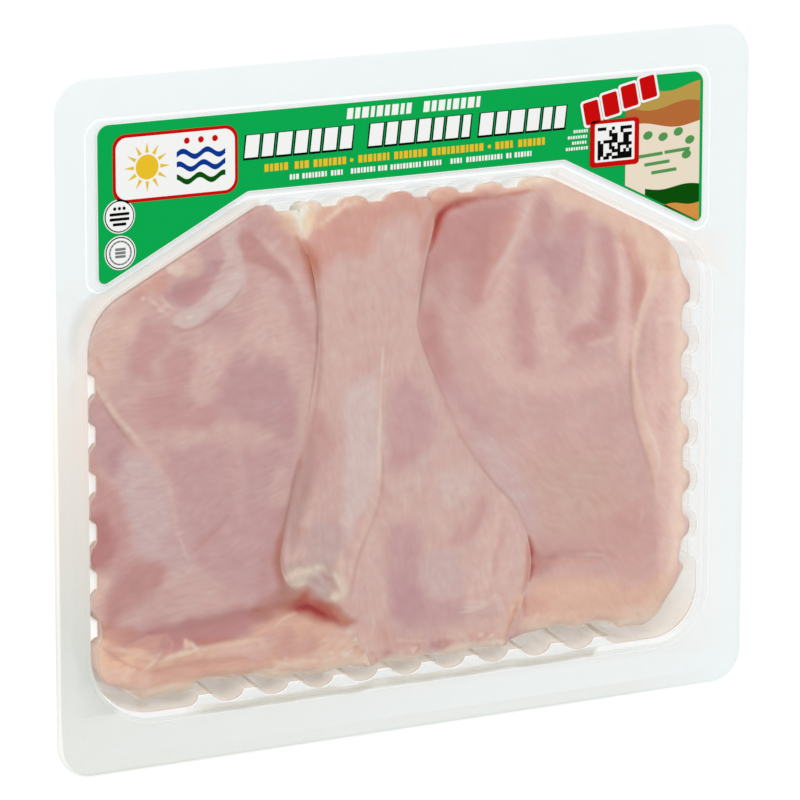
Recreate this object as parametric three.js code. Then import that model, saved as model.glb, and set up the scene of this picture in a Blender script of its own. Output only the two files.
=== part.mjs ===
// A sealed clear tray pack of three raw boneless chicken breasts, lying on its back.
// Millimetres. +X runs to the pack's right, +Y to its labelled edge, +Z out through the film.
import * as THREE from 'three';

// Tray flange, with its rounded shoulder and the skirt turned down round it
const TRAY_WIDTH = 284;
const TRAY_DEPTH = 253;
const FLANGE_TOP = 28;
const FLANGE_CORNER = 13;
const SHOULDER = 1.5;
const SKIRT_DROP = 3.2;
const WALL = 0.8;

// Pocket mouth, a rectangle with two slanted shoulders beside the label
const POCKET_X = -2.5;
const POCKET_HALF_WIDTH = 127;
const POCKET_TOP_HALF = 59.5;
const POCKET_TOP_Y = 75.6;
const POCKET_SHOULDER_Y = 41.2;
const POCKET_BOTTOM_Y = -107.2;
const POCKET_LOW_RADIUS = 20;
const POCKET_SIDE_RADIUS = 22;
const POCKET_UPPER_RADIUS = 12;

// Ledge and lands: ribs that stand into the pocket, with rounded flutes between them
const LEDGE_DROP = 3.5;
const LEDGE_Z = FLANGE_TOP - LEDGE_DROP;
const STEP_INSET = 0.5;
const LEDGE_INSET = 0.6;
const LAND_REACH = 3.7;
const LAND_HALF = 2.8;
const LAND_END_RUN = 4;
const FLUTES = {
  bottom: { lands: 10, pitch: 18.27, centre: -0.3 },
  right: { lands: 6, pitch: 17.75, centre: -28.4 },
  top: { lands: 6, pitch: 18.6, centre: -4.6 },
  left: { lands: 6, pitch: 17.75, centre: -28.4 },
};

// Lower wall and the round into the flat floor
const WALL_FOOT_Z = 6;
const WALL_FOOT_INSET = 2.8;
const ROUND_Z = 2.4;
const ROUND_INSET = 4.2;
const FLOOR_INSET = 7;

// Film sealed over the flange, drawn up a little over the meat
const GAP = 0.3;
const FILM_THICKNESS = 0.3;
const FILM_MARGIN = 2;
const FILM_RISE = 2;
const FILM_RISE_RUN = 25;
const FILM_Z = FLANGE_TOP + GAP;
const FILM_SPACING = 20;

// Label card above the pocket, with a wing down each side
const LABEL_HALF_WIDTH = 123.4;
const LABEL_HALF_MIDDLE = 64.5;
const LABEL_TOP_Y = 109.6;
const LABEL_MIDDLE_Y = 80.7;
const LABEL_WING_Y = 51;
const LABEL_THICKNESS = 0.3;
const LABEL_TOP_RADIUS = 5;
const LABEL_SMALL_RADIUS = 3;

// Meat: distance kept from wall and neighbour, and the heights of its rounded sides
const MEAT_INSET = 3.1;
const SEAM_HALF_GAP = 0.25;
const MEAT_FLOOR_Z = WALL + GAP;
const MEAT_MID_Z = 13;
const WALL_ROUNDING = 12;
const SEAM_ROUNDING = 4;
const MEAT_SPACING = 12;
const MEAT_LAND_HALF = LAND_HALF + 0.9;

const ARC_STEPS = 6;

// Corners of a closed outline rounded off, as a counter-clockwise list of points
function tangentArc(before, corner, after, radius, steps) {
  const toBefore = before.clone().sub(corner).normalize();
  const toAfter = after.clone().sub(corner).normalize();
  const halfAngle = Math.acos(THREE.MathUtils.clamp(toBefore.dot(toAfter), -1, 1)) / 2;
  const bisector = toBefore.clone().add(toAfter).normalize();
  const centre = corner.clone().addScaledVector(bisector, radius / Math.sin(halfAngle));
  const reach = radius / Math.tan(halfAngle);
  const start = corner.clone().addScaledVector(toBefore, reach).sub(centre);
  const end = corner.clone().addScaledVector(toAfter, reach).sub(centre);
  const sweep = Math.atan2(start.cross(end), start.dot(end));
  const points = [];
  for (let i = 0; i <= steps; i++) {
    points.push(start.clone().rotateAround(new THREE.Vector2(), (sweep * i) / steps).add(centre));
  }
  return points;
}

function roundedOutline(corners, radii, steps) {
  const points = [];
  corners.forEach((corner, i) => {
    const before = corners[(i + corners.length - 1) % corners.length];
    const after = corners[(i + 1) % corners.length];
    points.push(...tangentArc(before, corner, after, radii[i], steps));
  });
  return points;
}

// Corners of a convex outline moved inwards by one distance
function insetCorners(corners, inset) {
  const count = corners.length;
  const edges = corners.map((corner, i) => {
    const along = corners[(i + 1) % count].clone().sub(corner).normalize();
    const inward = new THREE.Vector2(-along.y, along.x);
    return { along, start: corner.clone().addScaledVector(inward, inset) };
  });
  return edges.map((edge, i) => {
    const last = edges[(i + count - 1) % count];
    const offset = edge.start.clone().sub(last.start);
    const travel = offset.cross(edge.along) / last.along.cross(edge.along);
    return last.start.clone().addScaledVector(last.along, travel);
  });
}

function flangeLoop(inset) {
  const x = TRAY_WIDTH / 2 - inset;
  const y = TRAY_DEPTH / 2 - inset;
  const corners = [[-x, -y], [x, -y], [x, y], [-x, y]].map(([u, v]) => new THREE.Vector2(u, v));
  return roundedOutline(corners, corners.map(() => FLANGE_CORNER - inset), ARC_STEPS);
}

const POCKET_CORNERS = [
  [-POCKET_HALF_WIDTH, POCKET_BOTTOM_Y],
  [POCKET_HALF_WIDTH, POCKET_BOTTOM_Y],
  [POCKET_HALF_WIDTH, POCKET_SHOULDER_Y],
  [POCKET_TOP_HALF, POCKET_TOP_Y],
  [-POCKET_TOP_HALF, POCKET_TOP_Y],
  [-POCKET_HALF_WIDTH, POCKET_SHOULDER_Y],
].map(([x, y]) => new THREE.Vector2(POCKET_X + x, y));
const POCKET_RADII = [
  POCKET_LOW_RADIUS, POCKET_LOW_RADIUS,
  POCKET_SIDE_RADIUS, POCKET_UPPER_RADIUS, POCKET_UPPER_RADIUS, POCKET_SIDE_RADIUS,
];
const SMALLEST_RADIUS = 3;
const POCKET_EDGES = ['bottom', 'right', 'diagonal', 'top', 'diagonal', 'left'];

// Places along one fluted side, each with how far the wall stands in there, from 0 to 1
function landProfile({ lands, pitch, centre }, landHalf) {
  const quarter = [Math.PI / 6, Math.PI / 3, Math.PI / 2];
  const fluteHalf = pitch / 2 - landHalf;
  const places = [];
  const fall = (place, run, side, angle) => {
    places.push([place + side * run * (1 - Math.cos(angle)), 1 - Math.sin(angle)]);
  };
  for (let i = 0; i < lands; i++) {
    const middle = centre + (i - (lands - 1) / 2) * pitch;
    const lead = i === 0 ? LAND_END_RUN : fluteHalf;
    const trail = i === lands - 1 ? LAND_END_RUN : fluteHalf;
    [...quarter].reverse().forEach((angle, k) => {
      if (k > 0 || i === 0) fall(middle - landHalf, lead, -1, angle);
    });
    places.push([middle - landHalf, 1], [middle + landHalf, 1]);
    quarter.forEach((angle) => fall(middle + landHalf, trail, 1, angle));
  }
  return places;
}

// Pocket outline at one inset; the lands stand in by `reach`, and `fill` says how far the
// flutes are filled up towards the lands, side by side
function pocketLoop(inset, reach, landHalf = LAND_HALF, fill = {}) {
  const corners = insetCorners(POCKET_CORNERS, inset);
  const points = [];
  corners.forEach((corner, i) => {
    const before = corners[(i + corners.length - 1) % corners.length];
    const after = corners[(i + 1) % corners.length];
    const radius = Math.max(POCKET_RADII[i] - inset, SMALLEST_RADIUS);
    points.push(...tangentArc(before, corner, after, radius, ARC_STEPS));
    const edge = POCKET_EDGES[i];
    if (edge === 'diagonal') return;
    const along = after.clone().sub(corner).normalize();
    const inward = new THREE.Vector2(-along.y, along.x);
    const upright = edge === 'left' || edge === 'right';
    const start = upright ? corner.y : corner.x;
    const step = upright ? along.y : along.x;
    const profile = landProfile(FLUTES[edge], landHalf);
    if (step < 0) profile.reverse();
    const filled = fill[edge] ?? 0;
    profile.forEach(([place, share], k) => {
      const atEnd = k < 3 || k >= profile.length - 3;
      const stand = atEnd ? share : filled + (1 - filled) * share;
      const point = corner.clone().addScaledVector(along, (place - start) / step);
      points.push(point.addScaledVector(inward, reach * stand));
    });
  });
  return points;
}

function atHeight(loop, z) {
  return loop.map((point) => new THREE.Vector3(point.x, point.y, z));
}

// A closed skin put together from rings; ring to ring, the face looks along tangent x step
class Skin {
  constructor() {
    this.values = [];
  }

  face(a, b, c) {
    this.values.push(...a.toArray(), ...b.toArray(), ...c.toArray());
  }

  band(from, to) {
    from.forEach((point, i) => {
      const next = (i + 1) % from.length;
      this.face(point, from[next], to[next]);
      this.face(point, to[next], to[i]);
    });
  }

  rings(list) {
    for (let i = 1; i < list.length; i++) this.band(list[i - 1], list[i]);
  }

  // A flat ring or plate: hole may be empty, and facing is 1 for up or -1 for down
  plate(outer, hole, facing) {
    const all = [...outer, ...hole];
    const triangles = THREE.ShapeUtils.triangulateShape(outer, hole.length ? [hole] : []);
    triangles.forEach(([i, j, k]) => {
      const [a, b, c] = [all[i], all[j], all[k]];
      const area = (b.x - a.x) * (c.y - a.y) - (b.y - a.y) * (c.x - a.x);
      if (area * facing > 0) this.face(a, b, c);
      else this.face(a, c, b);
    });
  }

  // A ring closed by triangles that meet at one point
  fan(ring, point) {
    ring.forEach((corner, i) => this.face(corner, ring[(i + 1) % ring.length], point));
  }

  mesh(name, material) {
    const geometry = new THREE.BufferGeometry();
    geometry.setAttribute('position', new THREE.Float32BufferAttribute(this.values, 3));
    geometry.computeVertexNormals();
    const mesh = new THREE.Mesh(geometry, material);
    mesh.name = name;
    return mesh;
  }
}

// Clear tray: skirt, shoulder, flange, ledge, fluted wall and floor, one shell of even wall
function makeTray(material) {
  const skirtBottom = FLANGE_TOP - SKIRT_DROP;
  const halfway = SHOULDER * (1 - Math.SQRT1_2);
  const edgeRings = [
    atHeight(flangeLoop(0), skirtBottom),
    atHeight(flangeLoop(0), FLANGE_TOP - SHOULDER),
    atHeight(flangeLoop(halfway), FLANGE_TOP - halfway),
    atHeight(flangeLoop(SHOULDER), FLANGE_TOP),
  ];
  const insideRings = [
    atHeight(pocketLoop(0, 0), FLANGE_TOP),
    atHeight(pocketLoop(STEP_INSET, 0), LEDGE_Z),
    atHeight(pocketLoop(LEDGE_INSET, LAND_REACH), LEDGE_Z),
    atHeight(pocketLoop(WALL_FOOT_INSET, LAND_REACH), WALL_FOOT_Z),
    atHeight(pocketLoop(ROUND_INSET, LAND_REACH * 0.8), ROUND_Z),
    atHeight(pocketLoop(FLOOR_INSET, LAND_REACH * 0.6), WALL),
  ];
  const narrow = LAND_HALF - WALL;
  const outsideRings = [
    atHeight(pocketLoop(FLOOR_INSET - WALL / 4, LAND_REACH * 0.6, narrow), 0),
    atHeight(pocketLoop(ROUND_INSET - WALL * 0.7, LAND_REACH * 0.8, narrow), ROUND_Z - WALL * 0.7),
    atHeight(pocketLoop(WALL_FOOT_INSET - WALL, LAND_REACH, narrow), WALL_FOOT_Z),
    atHeight(pocketLoop(LEDGE_INSET - WALL, LAND_REACH, narrow), LEDGE_Z - WALL),
    atHeight(pocketLoop(STEP_INSET - WALL - 0.1, 0), LEDGE_Z - WALL),
    atHeight(pocketLoop(-WALL, 0), FLANGE_TOP - WALL),
  ];
  const underRings = [
    atHeight(flangeLoop(SHOULDER), FLANGE_TOP - WALL),
    atHeight(flangeLoop(WALL), FLANGE_TOP - SHOULDER),
    atHeight(flangeLoop(WALL), skirtBottom),
    edgeRings[0],
  ];
  const skin = new Skin();
  skin.rings(edgeRings);
  skin.plate(edgeRings.at(-1), insideRings[0], 1);
  skin.rings(insideRings);
  skin.plate(insideRings.at(-1), [], 1);
  skin.plate(outsideRings[0], [], -1);
  skin.rings(outsideRings);
  skin.plate(underRings[0], outsideRings.at(-1), -1);
  skin.rings(underRings);
  return skin.mesh('tray', material);
}

// Straight stretches of a loop cut into shorter ones
function subdivided(loop, spacing) {
  return loop.flatMap((point, i) => {
    const next = loop[(i + 1) % loop.length];
    const pieces = Math.max(1, Math.round(point.distanceTo(next) / spacing));
    return Array.from({ length: pieces }, (unused, k) => point.clone().lerp(next, k / pieces));
  });
}

// Distance from a place to the straight sides of the pocket, negative outside it
const POCKET_SIDES = POCKET_CORNERS.map((corner, i) => {
  const along = POCKET_CORNERS[(i + 1) % POCKET_CORNERS.length].clone().sub(corner).normalize();
  return { corner, inward: new THREE.Vector2(-along.y, along.x) };
});

function depthInPocket(point) {
  return Math.min(...POCKET_SIDES.map((side) => point.clone().sub(side.corner).dot(side.inward)));
}

// Underside of the film: flat over the flange, rising in a smooth swell over the meat
function filmHeight(point) {
  const run = THREE.MathUtils.clamp(depthInPocket(point) / FILM_RISE_RUN, 0, 1);
  return FILM_Z + FILM_RISE * run * run * (3 - 2 * run);
}

function makeFilm(material) {
  const mouth = subdivided(
    roundedOutline(POCKET_CORNERS, POCKET_RADII, ARC_STEPS), FILM_SPACING);
  const centre = new THREE.Vector2(POCKET_X, (POCKET_TOP_Y + POCKET_BOTTOM_Y) / 2);
  const shares = [0, 0.07, 0.17, 0.32];
  const loops = shares.map((share) => mouth.map((point) => point.clone().lerp(centre, share)));
  const surface = (lift) => loops.map((loop) => loop.map((point) => (
    new THREE.Vector3(point.x, point.y, filmHeight(point) + lift))));
  const edge = flangeLoop(FILM_MARGIN);
  const under = surface(0);
  const over = surface(FILM_THICKNESS);
  const edgeUnder = atHeight(edge, FILM_Z);
  const edgeOver = atHeight(edge, FILM_Z + FILM_THICKNESS);
  const skin = new Skin();
  skin.band(edgeUnder, edgeOver);
  skin.plate(edgeOver, over[0], 1);
  skin.rings(over);
  skin.plate(over.at(-1), [], 1);
  skin.plate(edgeUnder, under[0], -1);
  skin.rings([...under].reverse());
  skin.plate(under.at(-1), [], -1);
  return skin.mesh('film', material);
}

function makeLabel(material) {
  const corners = [
    [-LABEL_HALF_WIDTH, LABEL_WING_Y],
    [-LABEL_HALF_MIDDLE, LABEL_MIDDLE_Y],
    [LABEL_HALF_MIDDLE, LABEL_MIDDLE_Y],
    [LABEL_HALF_WIDTH, LABEL_WING_Y],
    [LABEL_HALF_WIDTH, LABEL_TOP_Y],
    [-LABEL_HALF_WIDTH, LABEL_TOP_Y],
  ].map(([x, y]) => new THREE.Vector2(POCKET_X + x, y));
  const small = LABEL_SMALL_RADIUS;
  const radii = [small, small, small, small, LABEL_TOP_RADIUS, LABEL_TOP_RADIUS];
  const outline = roundedOutline(corners, radii, ARC_STEPS);
  const bottom = FILM_Z + FILM_THICKNESS + GAP;
  const geometry = new THREE.ExtrudeGeometry(new THREE.Shape(outline), {
    depth: LABEL_THICKNESS, bevelEnabled: false, steps: 1,
  });
  const mesh = new THREE.Mesh(geometry, material);
  mesh.name = 'label';
  mesh.position.z = bottom;
  return mesh;
}

// Lines where two breasts touch, from the labelled edge down
const LEFT_SEAM = [[-48, 76], [-44, 61], [-39, 39], [-41, 1], [-47, -30], [-54, -60], [-47, -73],
  [-30, -80], [-19, -92], [-12, -108]];
const RIGHT_SEAM = [[6, 76], [8, 65], [3, 45], [2, 24], [9, 1], [25, -29], [41, -45], [48, -62],
  [48, -78], [41, -93], [36, -108]];
const SEAM_STEPS = 22;

function seamCurve(places) {
  const knots = places.map(([x, y]) => new THREE.Vector3(x, y, 0));
  return new THREE.CatmullRomCurve3(knots).getSpacedPoints(SEAM_STEPS)
    .map((point) => new THREE.Vector2(point.x, point.y));
}

// The same line moved sideways, to the left of its direction
function shifted(line, distance) {
  return line.map((point, i) => {
    const ahead = line[Math.min(i + 1, line.length - 1)];
    const behind = line[Math.max(i - 1, 0)];
    const along = ahead.clone().sub(behind).normalize();
    return point.clone().add(new THREE.Vector2(-along.y, along.x).multiplyScalar(distance));
  });
}

// Sideways place of a seam at one height of the pack
function seamX(line, y) {
  for (let i = 1; i < line.length; i++) {
    const [above, below] = [line[i - 1], line[i]];
    if ((above.y - y) * (below.y - y) <= 0 && above.y !== below.y) {
      return above.x + ((below.x - above.x) * (above.y - y)) / (above.y - below.y);
    }
  }
  return y > line[0].y ? line[0].x : line.at(-1).x;
}

// Folds and hollows pressed into the meat: place, half sizes and depth
const HOLLOWS = [
  { x: -86, y: 51, along: 11, across: 8, depth: 2.5 },
  { x: -75, y: -76, along: 26, across: 4, depth: 3 },
  { x: -40, y: -75, along: 9, across: 4, depth: 4 },
  { x: -12, y: 0, along: 4, across: 45, depth: 1.2 },
  { x: 28, y: 69, along: 18, across: 3, depth: 2.5 },
  { x: 70, y: 35, along: 14, across: 20, depth: 1.5 },
  { x: 95, y: -20, along: 4, across: 34, depth: 1.2 },
  { x: -118, y: -12, along: 8, across: 26, depth: 1.5 },
];

function meatTop(point) {
  const pressed = HOLLOWS.reduce((sum, { x, y, along, across, depth }) => (
    sum + depth * Math.exp(-(((point.x - x) / along) ** 2) - ((point.y - y) / across) ** 2)), 0);
  return filmHeight(point) - GAP - pressed;
}

function nearestOnSpine(point, [start, end]) {
  const line = end.clone().sub(start);
  const share = point.clone().sub(start).dot(line) / line.lengthSq();
  return start.clone().addScaledVector(line, THREE.MathUtils.clamp(share, 0, 1));
}

// Rings of one breast from the flat underside to the top: inset, largest share of the way
// to the spine, and the part of the way from the floor to mid height, or on to the top
const LOWER_RINGS = [
  { inset: 8.5, share: 0.3, height: 0 },
  { inset: 3.4, share: 0.12, height: 0.15 },
  { inset: 0.8, share: 0.03, height: 0.5 },
  { inset: 0, share: 0, height: 1 },
];
const UPPER_RINGS = [
  { inset: 1.2, share: 0.06 },
  { inset: 4, share: 0.15 },
  { inset: 9, share: 0.3 },
  { inset: 20, share: 0.55 },
  { inset: 34, share: 0.78 },
];

function makeBreast(name, outline, spine, material) {
  const ring = (inset, share, heightAt) => outline.map(({ point, rounding }) => {
    const target = nearestOnSpine(point, spine);
    const distance = point.distanceTo(target);
    const travel = Math.min(inset, share * distance);
    const place = point.clone().lerp(target, travel / distance);
    return new THREE.Vector3(place.x, place.y, heightAt(place, travel, rounding));
  });
  const lower = LOWER_RINGS.map(({ inset, share, height }) => (
    ring(inset, share, () => THREE.MathUtils.lerp(MEAT_FLOOR_Z, MEAT_MID_Z, height))));
  const upper = UPPER_RINGS.map(({ inset, share }) => (
    ring(inset, share, (place, travel, rounding) => {
      const run = Math.min(travel / rounding, 1);
      return THREE.MathUtils.lerp(MEAT_MID_Z, meatTop(place), Math.sqrt(1 - (1 - run) ** 2));
    })));
  const skin = new Skin();
  skin.plate(lower[0], [], -1);
  skin.rings([...lower, ...upper]);
  const crown = spine[0].clone().lerp(spine[1], 0.5);
  skin.fan(upper.at(-1), new THREE.Vector3(crown.x, crown.y, meatTop(crown)));
  return skin.mesh(name, material);
}

// Outlines of the three breasts: the pocket wall split by the two seams
const FLUTE_FILL = { bottom: 0.8, right: 0.5, top: 0.6, left: 0.45 };

function breastOutlines() {
  const leftSeam = seamCurve(LEFT_SEAM);
  const rightSeam = seamCurve(RIGHT_SEAM);
  const loop = pocketLoop(MEAT_INSET, LAND_REACH, MEAT_LAND_HALF, FLUTE_FILL);
  const wall = subdivided(loop, MEAT_SPACING)
    .map((point) => ({ point, rounding: WALL_ROUNDING }));
  const clearance = SEAM_HALF_GAP + 1;
  const lowest = POCKET_BOTTOM_Y + MEAT_INSET + LAND_REACH;
  const highest = POCKET_TOP_Y - MEAT_INSET - LAND_REACH;
  const seamPoints = (line, distance) => shifted(line, distance)
    .filter((point) => point.y > lowest && point.y < highest)
    .map((point) => ({ point, rounding: SEAM_ROUNDING }));
  const leftWall = wall.filter(({ point }) => point.x < seamX(leftSeam, point.y) - clearance);
  const rightWall = wall.filter(({ point }) => point.x > seamX(rightSeam, point.y) + clearance);
  const middleWall = wall.filter(({ point }) => (
    point.x > seamX(leftSeam, point.y) + clearance
    && point.x < seamX(rightSeam, point.y) - clearance));
  const middleTop = middleWall.filter(({ point }) => point.y > 0);
  const middleBottom = middleWall.filter(({ point }) => point.y < 0);
  const turned = (list) => {
    const gaps = list.map(({ point }, i) => point.distanceTo(list[(i + 1) % list.length].point));
    const last = gaps.indexOf(Math.max(...gaps));
    return [...list.slice(last + 1), ...list.slice(0, last + 1)];
  };
  return {
    left: [...turned(leftWall), ...seamPoints(leftSeam, -SEAM_HALF_GAP).reverse()],
    middle: [...middleBottom, ...seamPoints(rightSeam, -SEAM_HALF_GAP).reverse(),
      ...middleTop, ...seamPoints(leftSeam, SEAM_HALF_GAP)],
    right: [...turned(rightWall), ...seamPoints(rightSeam, SEAM_HALF_GAP)],
  };
}

const CLEAR = { color: '#eef3f3', transparent: true, opacity: 0.35, roughness: 0.15 };
const MEAT = { roughness: 0.4, metalness: 0 };
const trayMaterial = new THREE.MeshStandardMaterial({ ...CLEAR });
const filmMaterial = new THREE.MeshStandardMaterial({ ...CLEAR, roughness: 0.05 });
const labelMaterial = new THREE.MeshStandardMaterial({ color: '#00a446', roughness: 0.45 });
const leftMaterial = new THREE.MeshStandardMaterial({ ...MEAT, color: '#cba29f' });
const middleMaterial = new THREE.MeshStandardMaterial({ ...MEAT, color: '#cfaaa3' });
const rightMaterial = new THREE.MeshStandardMaterial({ ...MEAT, color: '#cea49e' });

const outlines = breastOutlines();
const spineOf = (x0, y0, x1, y1) => [new THREE.Vector2(x0, y0), new THREE.Vector2(x1, y1)];

const pack = new THREE.Group();
pack.add(makeTray(trayMaterial));
pack.add(makeBreast('breast_left', outlines.left, spineOf(-80, 30, -82, -65), leftMaterial));
pack.add(makeBreast('breast_middle', outlines.middle, spineOf(-17, 40, 5, -65), middleMaterial));
pack.add(makeBreast('breast_right', outlines.right, spineOf(55, 30, 80, -60), rightMaterial));
pack.add(makeFilm(filmMaterial));
pack.add(makeLabel(labelMaterial));

export default pack;
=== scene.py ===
import cmath
import math
import random

import bpy
import numpy as np
from mathutils import Matrix, Vector
from mathutils.geometry import delaunay_2d_cdt, tessellate_polygon


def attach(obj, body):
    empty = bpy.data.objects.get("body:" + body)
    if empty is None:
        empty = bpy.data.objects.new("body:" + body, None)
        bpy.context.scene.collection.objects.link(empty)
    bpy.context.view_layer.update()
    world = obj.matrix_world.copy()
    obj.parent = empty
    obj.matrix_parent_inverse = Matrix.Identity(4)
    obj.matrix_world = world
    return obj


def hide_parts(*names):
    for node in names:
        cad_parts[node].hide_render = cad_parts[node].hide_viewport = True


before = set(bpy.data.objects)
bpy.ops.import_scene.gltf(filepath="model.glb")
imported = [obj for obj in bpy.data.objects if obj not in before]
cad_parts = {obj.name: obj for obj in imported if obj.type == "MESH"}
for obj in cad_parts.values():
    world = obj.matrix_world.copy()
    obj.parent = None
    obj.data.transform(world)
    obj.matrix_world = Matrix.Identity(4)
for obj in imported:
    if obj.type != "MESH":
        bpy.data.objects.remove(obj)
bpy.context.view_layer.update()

# Lengths are in millimetres, in the frame of the solids, until a mesh is made.
# A place on the pack is a complex number: x to the pack's right, y to its labelled edge.
MM = 0.001

# Tray, as in the solids, save that its lower left corner is rounder and its floor lies lower
TRAY_WIDTH = 284
TRAY_DEPTH = 253
FLANGE_TOP = 28
FLANGE_CORNER = 13
SHOULDER = 1.5
SKIRT_DROP = 3.2
WALL = 0.8
POCKET_X = -2.5
POCKET_HALF_WIDTH = 127
POCKET_TOP_HALF = 59.5
POCKET_TOP_Y = 75.6
POCKET_SHOULDER_Y = 41.2
POCKET_BOTTOM_Y = -107.2
POCKET_RADII = [25.5, 20, 22, 12, 12, 22]
POCKET_EDGES = ["bottom", "right", "diagonal", "top", "diagonal", "left"]
LEDGE_Z = FLANGE_TOP - 3.5
STEP_INSET = 0.5
LEDGE_INSET = 0.6
LAND_REACH = 3.7
LAND_HALF = 2.8
LAND_END_RUN = 4
WALL_FOOT_Z = 6
WALL_FOOT_INSET = 2.8
ROUND_Z = 2.4
ROUND_INSET = 4.2
FLOOR_INSET = 7
TRAY_FLOOR_Z = 0.05
# Each fluted side: how many lands stand in, how far apart, and where their middle lies
FLUTES = {
    "bottom": (10, 18.27, -0.3),
    "right": (6, 17.75, -28.4),
    "top": (6, 18.6, -4.6),
    "left": (6, 17.75, -28.4),
}

# Film and label
GAP = 0.3
FILM_THICKNESS = 0.3
FILM_MARGIN = 2
FILM_RISE = 2
FILM_RISE_RUN = 25
FILM_Z = FLANGE_TOP + GAP
LABEL_HALF_WIDTH = 123.4
LABEL_HALF_MIDDLE = 64.5
LABEL_TOP_Y = 109.6
LABEL_MIDDLE_Y = 80.7
LABEL_WING_Y = 51
LABEL_TOP_Z = FILM_Z + FILM_THICKNESS + GAP + 0.3
CARD_MARGIN = 0.35
CARD_RADII = [2.4, 3.6, 3.6, 2.4, 4.4, 4.4]

# Meat
MEAT_LAND_HALF = LAND_HALF + 0.9
MEAT_FLOOR_Z = TRAY_FLOOR_Z + GAP
FLUTE_FILL = {"bottom": 0.7, "right": 0.05, "top": 0.0, "left": 0.0}
SEAM_HALF_GAP = -0.12
SEAM_DEPTH = 0.35
# Here the left and middle breasts are pressed into one another and hardly a crease shows
SEAM_JOIN = -31-86j
SEAM_JOIN_REACH = 15
LEFT_SEAM = [
    -46+78j, -45.5+62j, -42+52j, -39.6+40j, -39.2+26j, -40.2+14j, -42.4+2j, -45-10j, -48-22j, -51-35j,
    -54-48j, -55-56j, -53-63j, -49-68j, -43-73j, -36-77.5j, -29-82j, -24-88j, -20-94j, -14-108j]
RIGHT_SEAM = [
    5+78j, 7.6+68j, 8+62j, 5+52j, 3+43j, 1.6+34j, 0.8+25j, 3.4+16.5j, 8+6j, 13-5j, 19-17j, 26-28j, 33-37j,
    40-44.5j, 44.4-51j, 47-58j, 48.6-66j, 48.4-73j, 46.4-80j, 44-87j, 40-94j, 36-108j]

# Steps round a corner and round half a flute, and the least rounding of the pocket's corners
ARC_STEPS = 16
FLUTE_STEPS = 8
LEAST_RADIUS = 3
# Runs longer than this get points in between
LONG_RUN = 50


def unit(step):
    return step / abs(step)


def cross(a, b):
    return (a.conjugate() * b).imag


def tangent_arc(before, corner, after, radius):
    """Points of the arc that rounds one corner off."""
    to_before, to_after = unit(before - corner), unit(after - corner)
    turn = cmath.phase((after - corner) / (corner - before))
    half = (math.pi - abs(turn)) / 2
    centre = corner + unit(to_before + to_after) * radius / math.sin(half)
    start = corner + to_before * radius / math.tan(half) - centre
    return [centre + start * cmath.rect(1, turn * i / ARC_STEPS) for i in range(ARC_STEPS + 1)]


def rounded_outline(corners, radii):
    count = len(corners)
    points = []
    for i, corner in enumerate(corners):
        points += tangent_arc(corners[i - 1], corner, corners[(i + 1) % count], radii[i])
    return points


def moved_corners(corners, moves):
    """Corners of an outline whose edges move inwards, each by a distance of its own."""
    count = len(corners)
    along = [unit(corners[(i + 1) % count] - corners[i]) for i in range(count)]
    start = [corner + 1j * step * move for corner, step, move in zip(corners, along, moves)]
    moved = []
    for i in range(count):
        travel = cross(start[i] - start[i - 1], along[i]) / cross(along[i - 1], along[i])
        moved.append(start[i - 1] + along[i - 1] * travel)
    return moved


def flange_loop(inset):
    x, y = TRAY_WIDTH / 2 - inset, TRAY_DEPTH / 2 - inset
    corners = [complex(-x, -y), complex(x, -y), complex(x, y), complex(-x, y)]
    return rounded_outline(corners, [FLANGE_CORNER - inset] * 4)


POCKET_CORNERS = [POCKET_X + place for place in (
    complex(-POCKET_HALF_WIDTH, POCKET_BOTTOM_Y),
    complex(POCKET_HALF_WIDTH, POCKET_BOTTOM_Y),
    complex(POCKET_HALF_WIDTH, POCKET_SHOULDER_Y),
    complex(POCKET_TOP_HALF, POCKET_TOP_Y),
    complex(-POCKET_TOP_HALF, POCKET_TOP_Y),
    complex(-POCKET_HALF_WIDTH, POCKET_SHOULDER_Y),
)]
POCKET_SIDES = [
    (corner, 1j * unit(POCKET_CORNERS[(i + 1) % 6] - corner)) for i, corner in enumerate(POCKET_CORNERS)
]


def pocket_depths(places):
    """How far places lie inside each of the pocket's six sides."""
    return [((places - corner) * np.conj(inward)).real for corner, inward in POCKET_SIDES]


def land_profile(side, land_half):
    """Places along one fluted side, each with how far the wall stands in there, from 0 to 1."""
    lands, pitch, centre = FLUTES[side]
    quarter = [math.pi / 2 * (k + 1) / FLUTE_STEPS for k in range(FLUTE_STEPS)]
    flute_half = pitch / 2 - land_half
    places = []
    for i in range(lands):
        middle = centre + (i - (lands - 1) / 2) * pitch
        lead = LAND_END_RUN if i == 0 else flute_half
        trail = LAND_END_RUN if i == lands - 1 else flute_half
        for k, angle in enumerate(reversed(quarter)):
            if k > 0 or i == 0:
                places.append((middle - land_half - lead * (1 - math.cos(angle)), 1 - math.sin(angle)))
        places += [(middle - land_half, 1), (middle + land_half, 1)]
        for angle in quarter:
            places.append((middle + land_half + trail * (1 - math.cos(angle)), 1 - math.sin(angle)))
    return places


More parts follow.
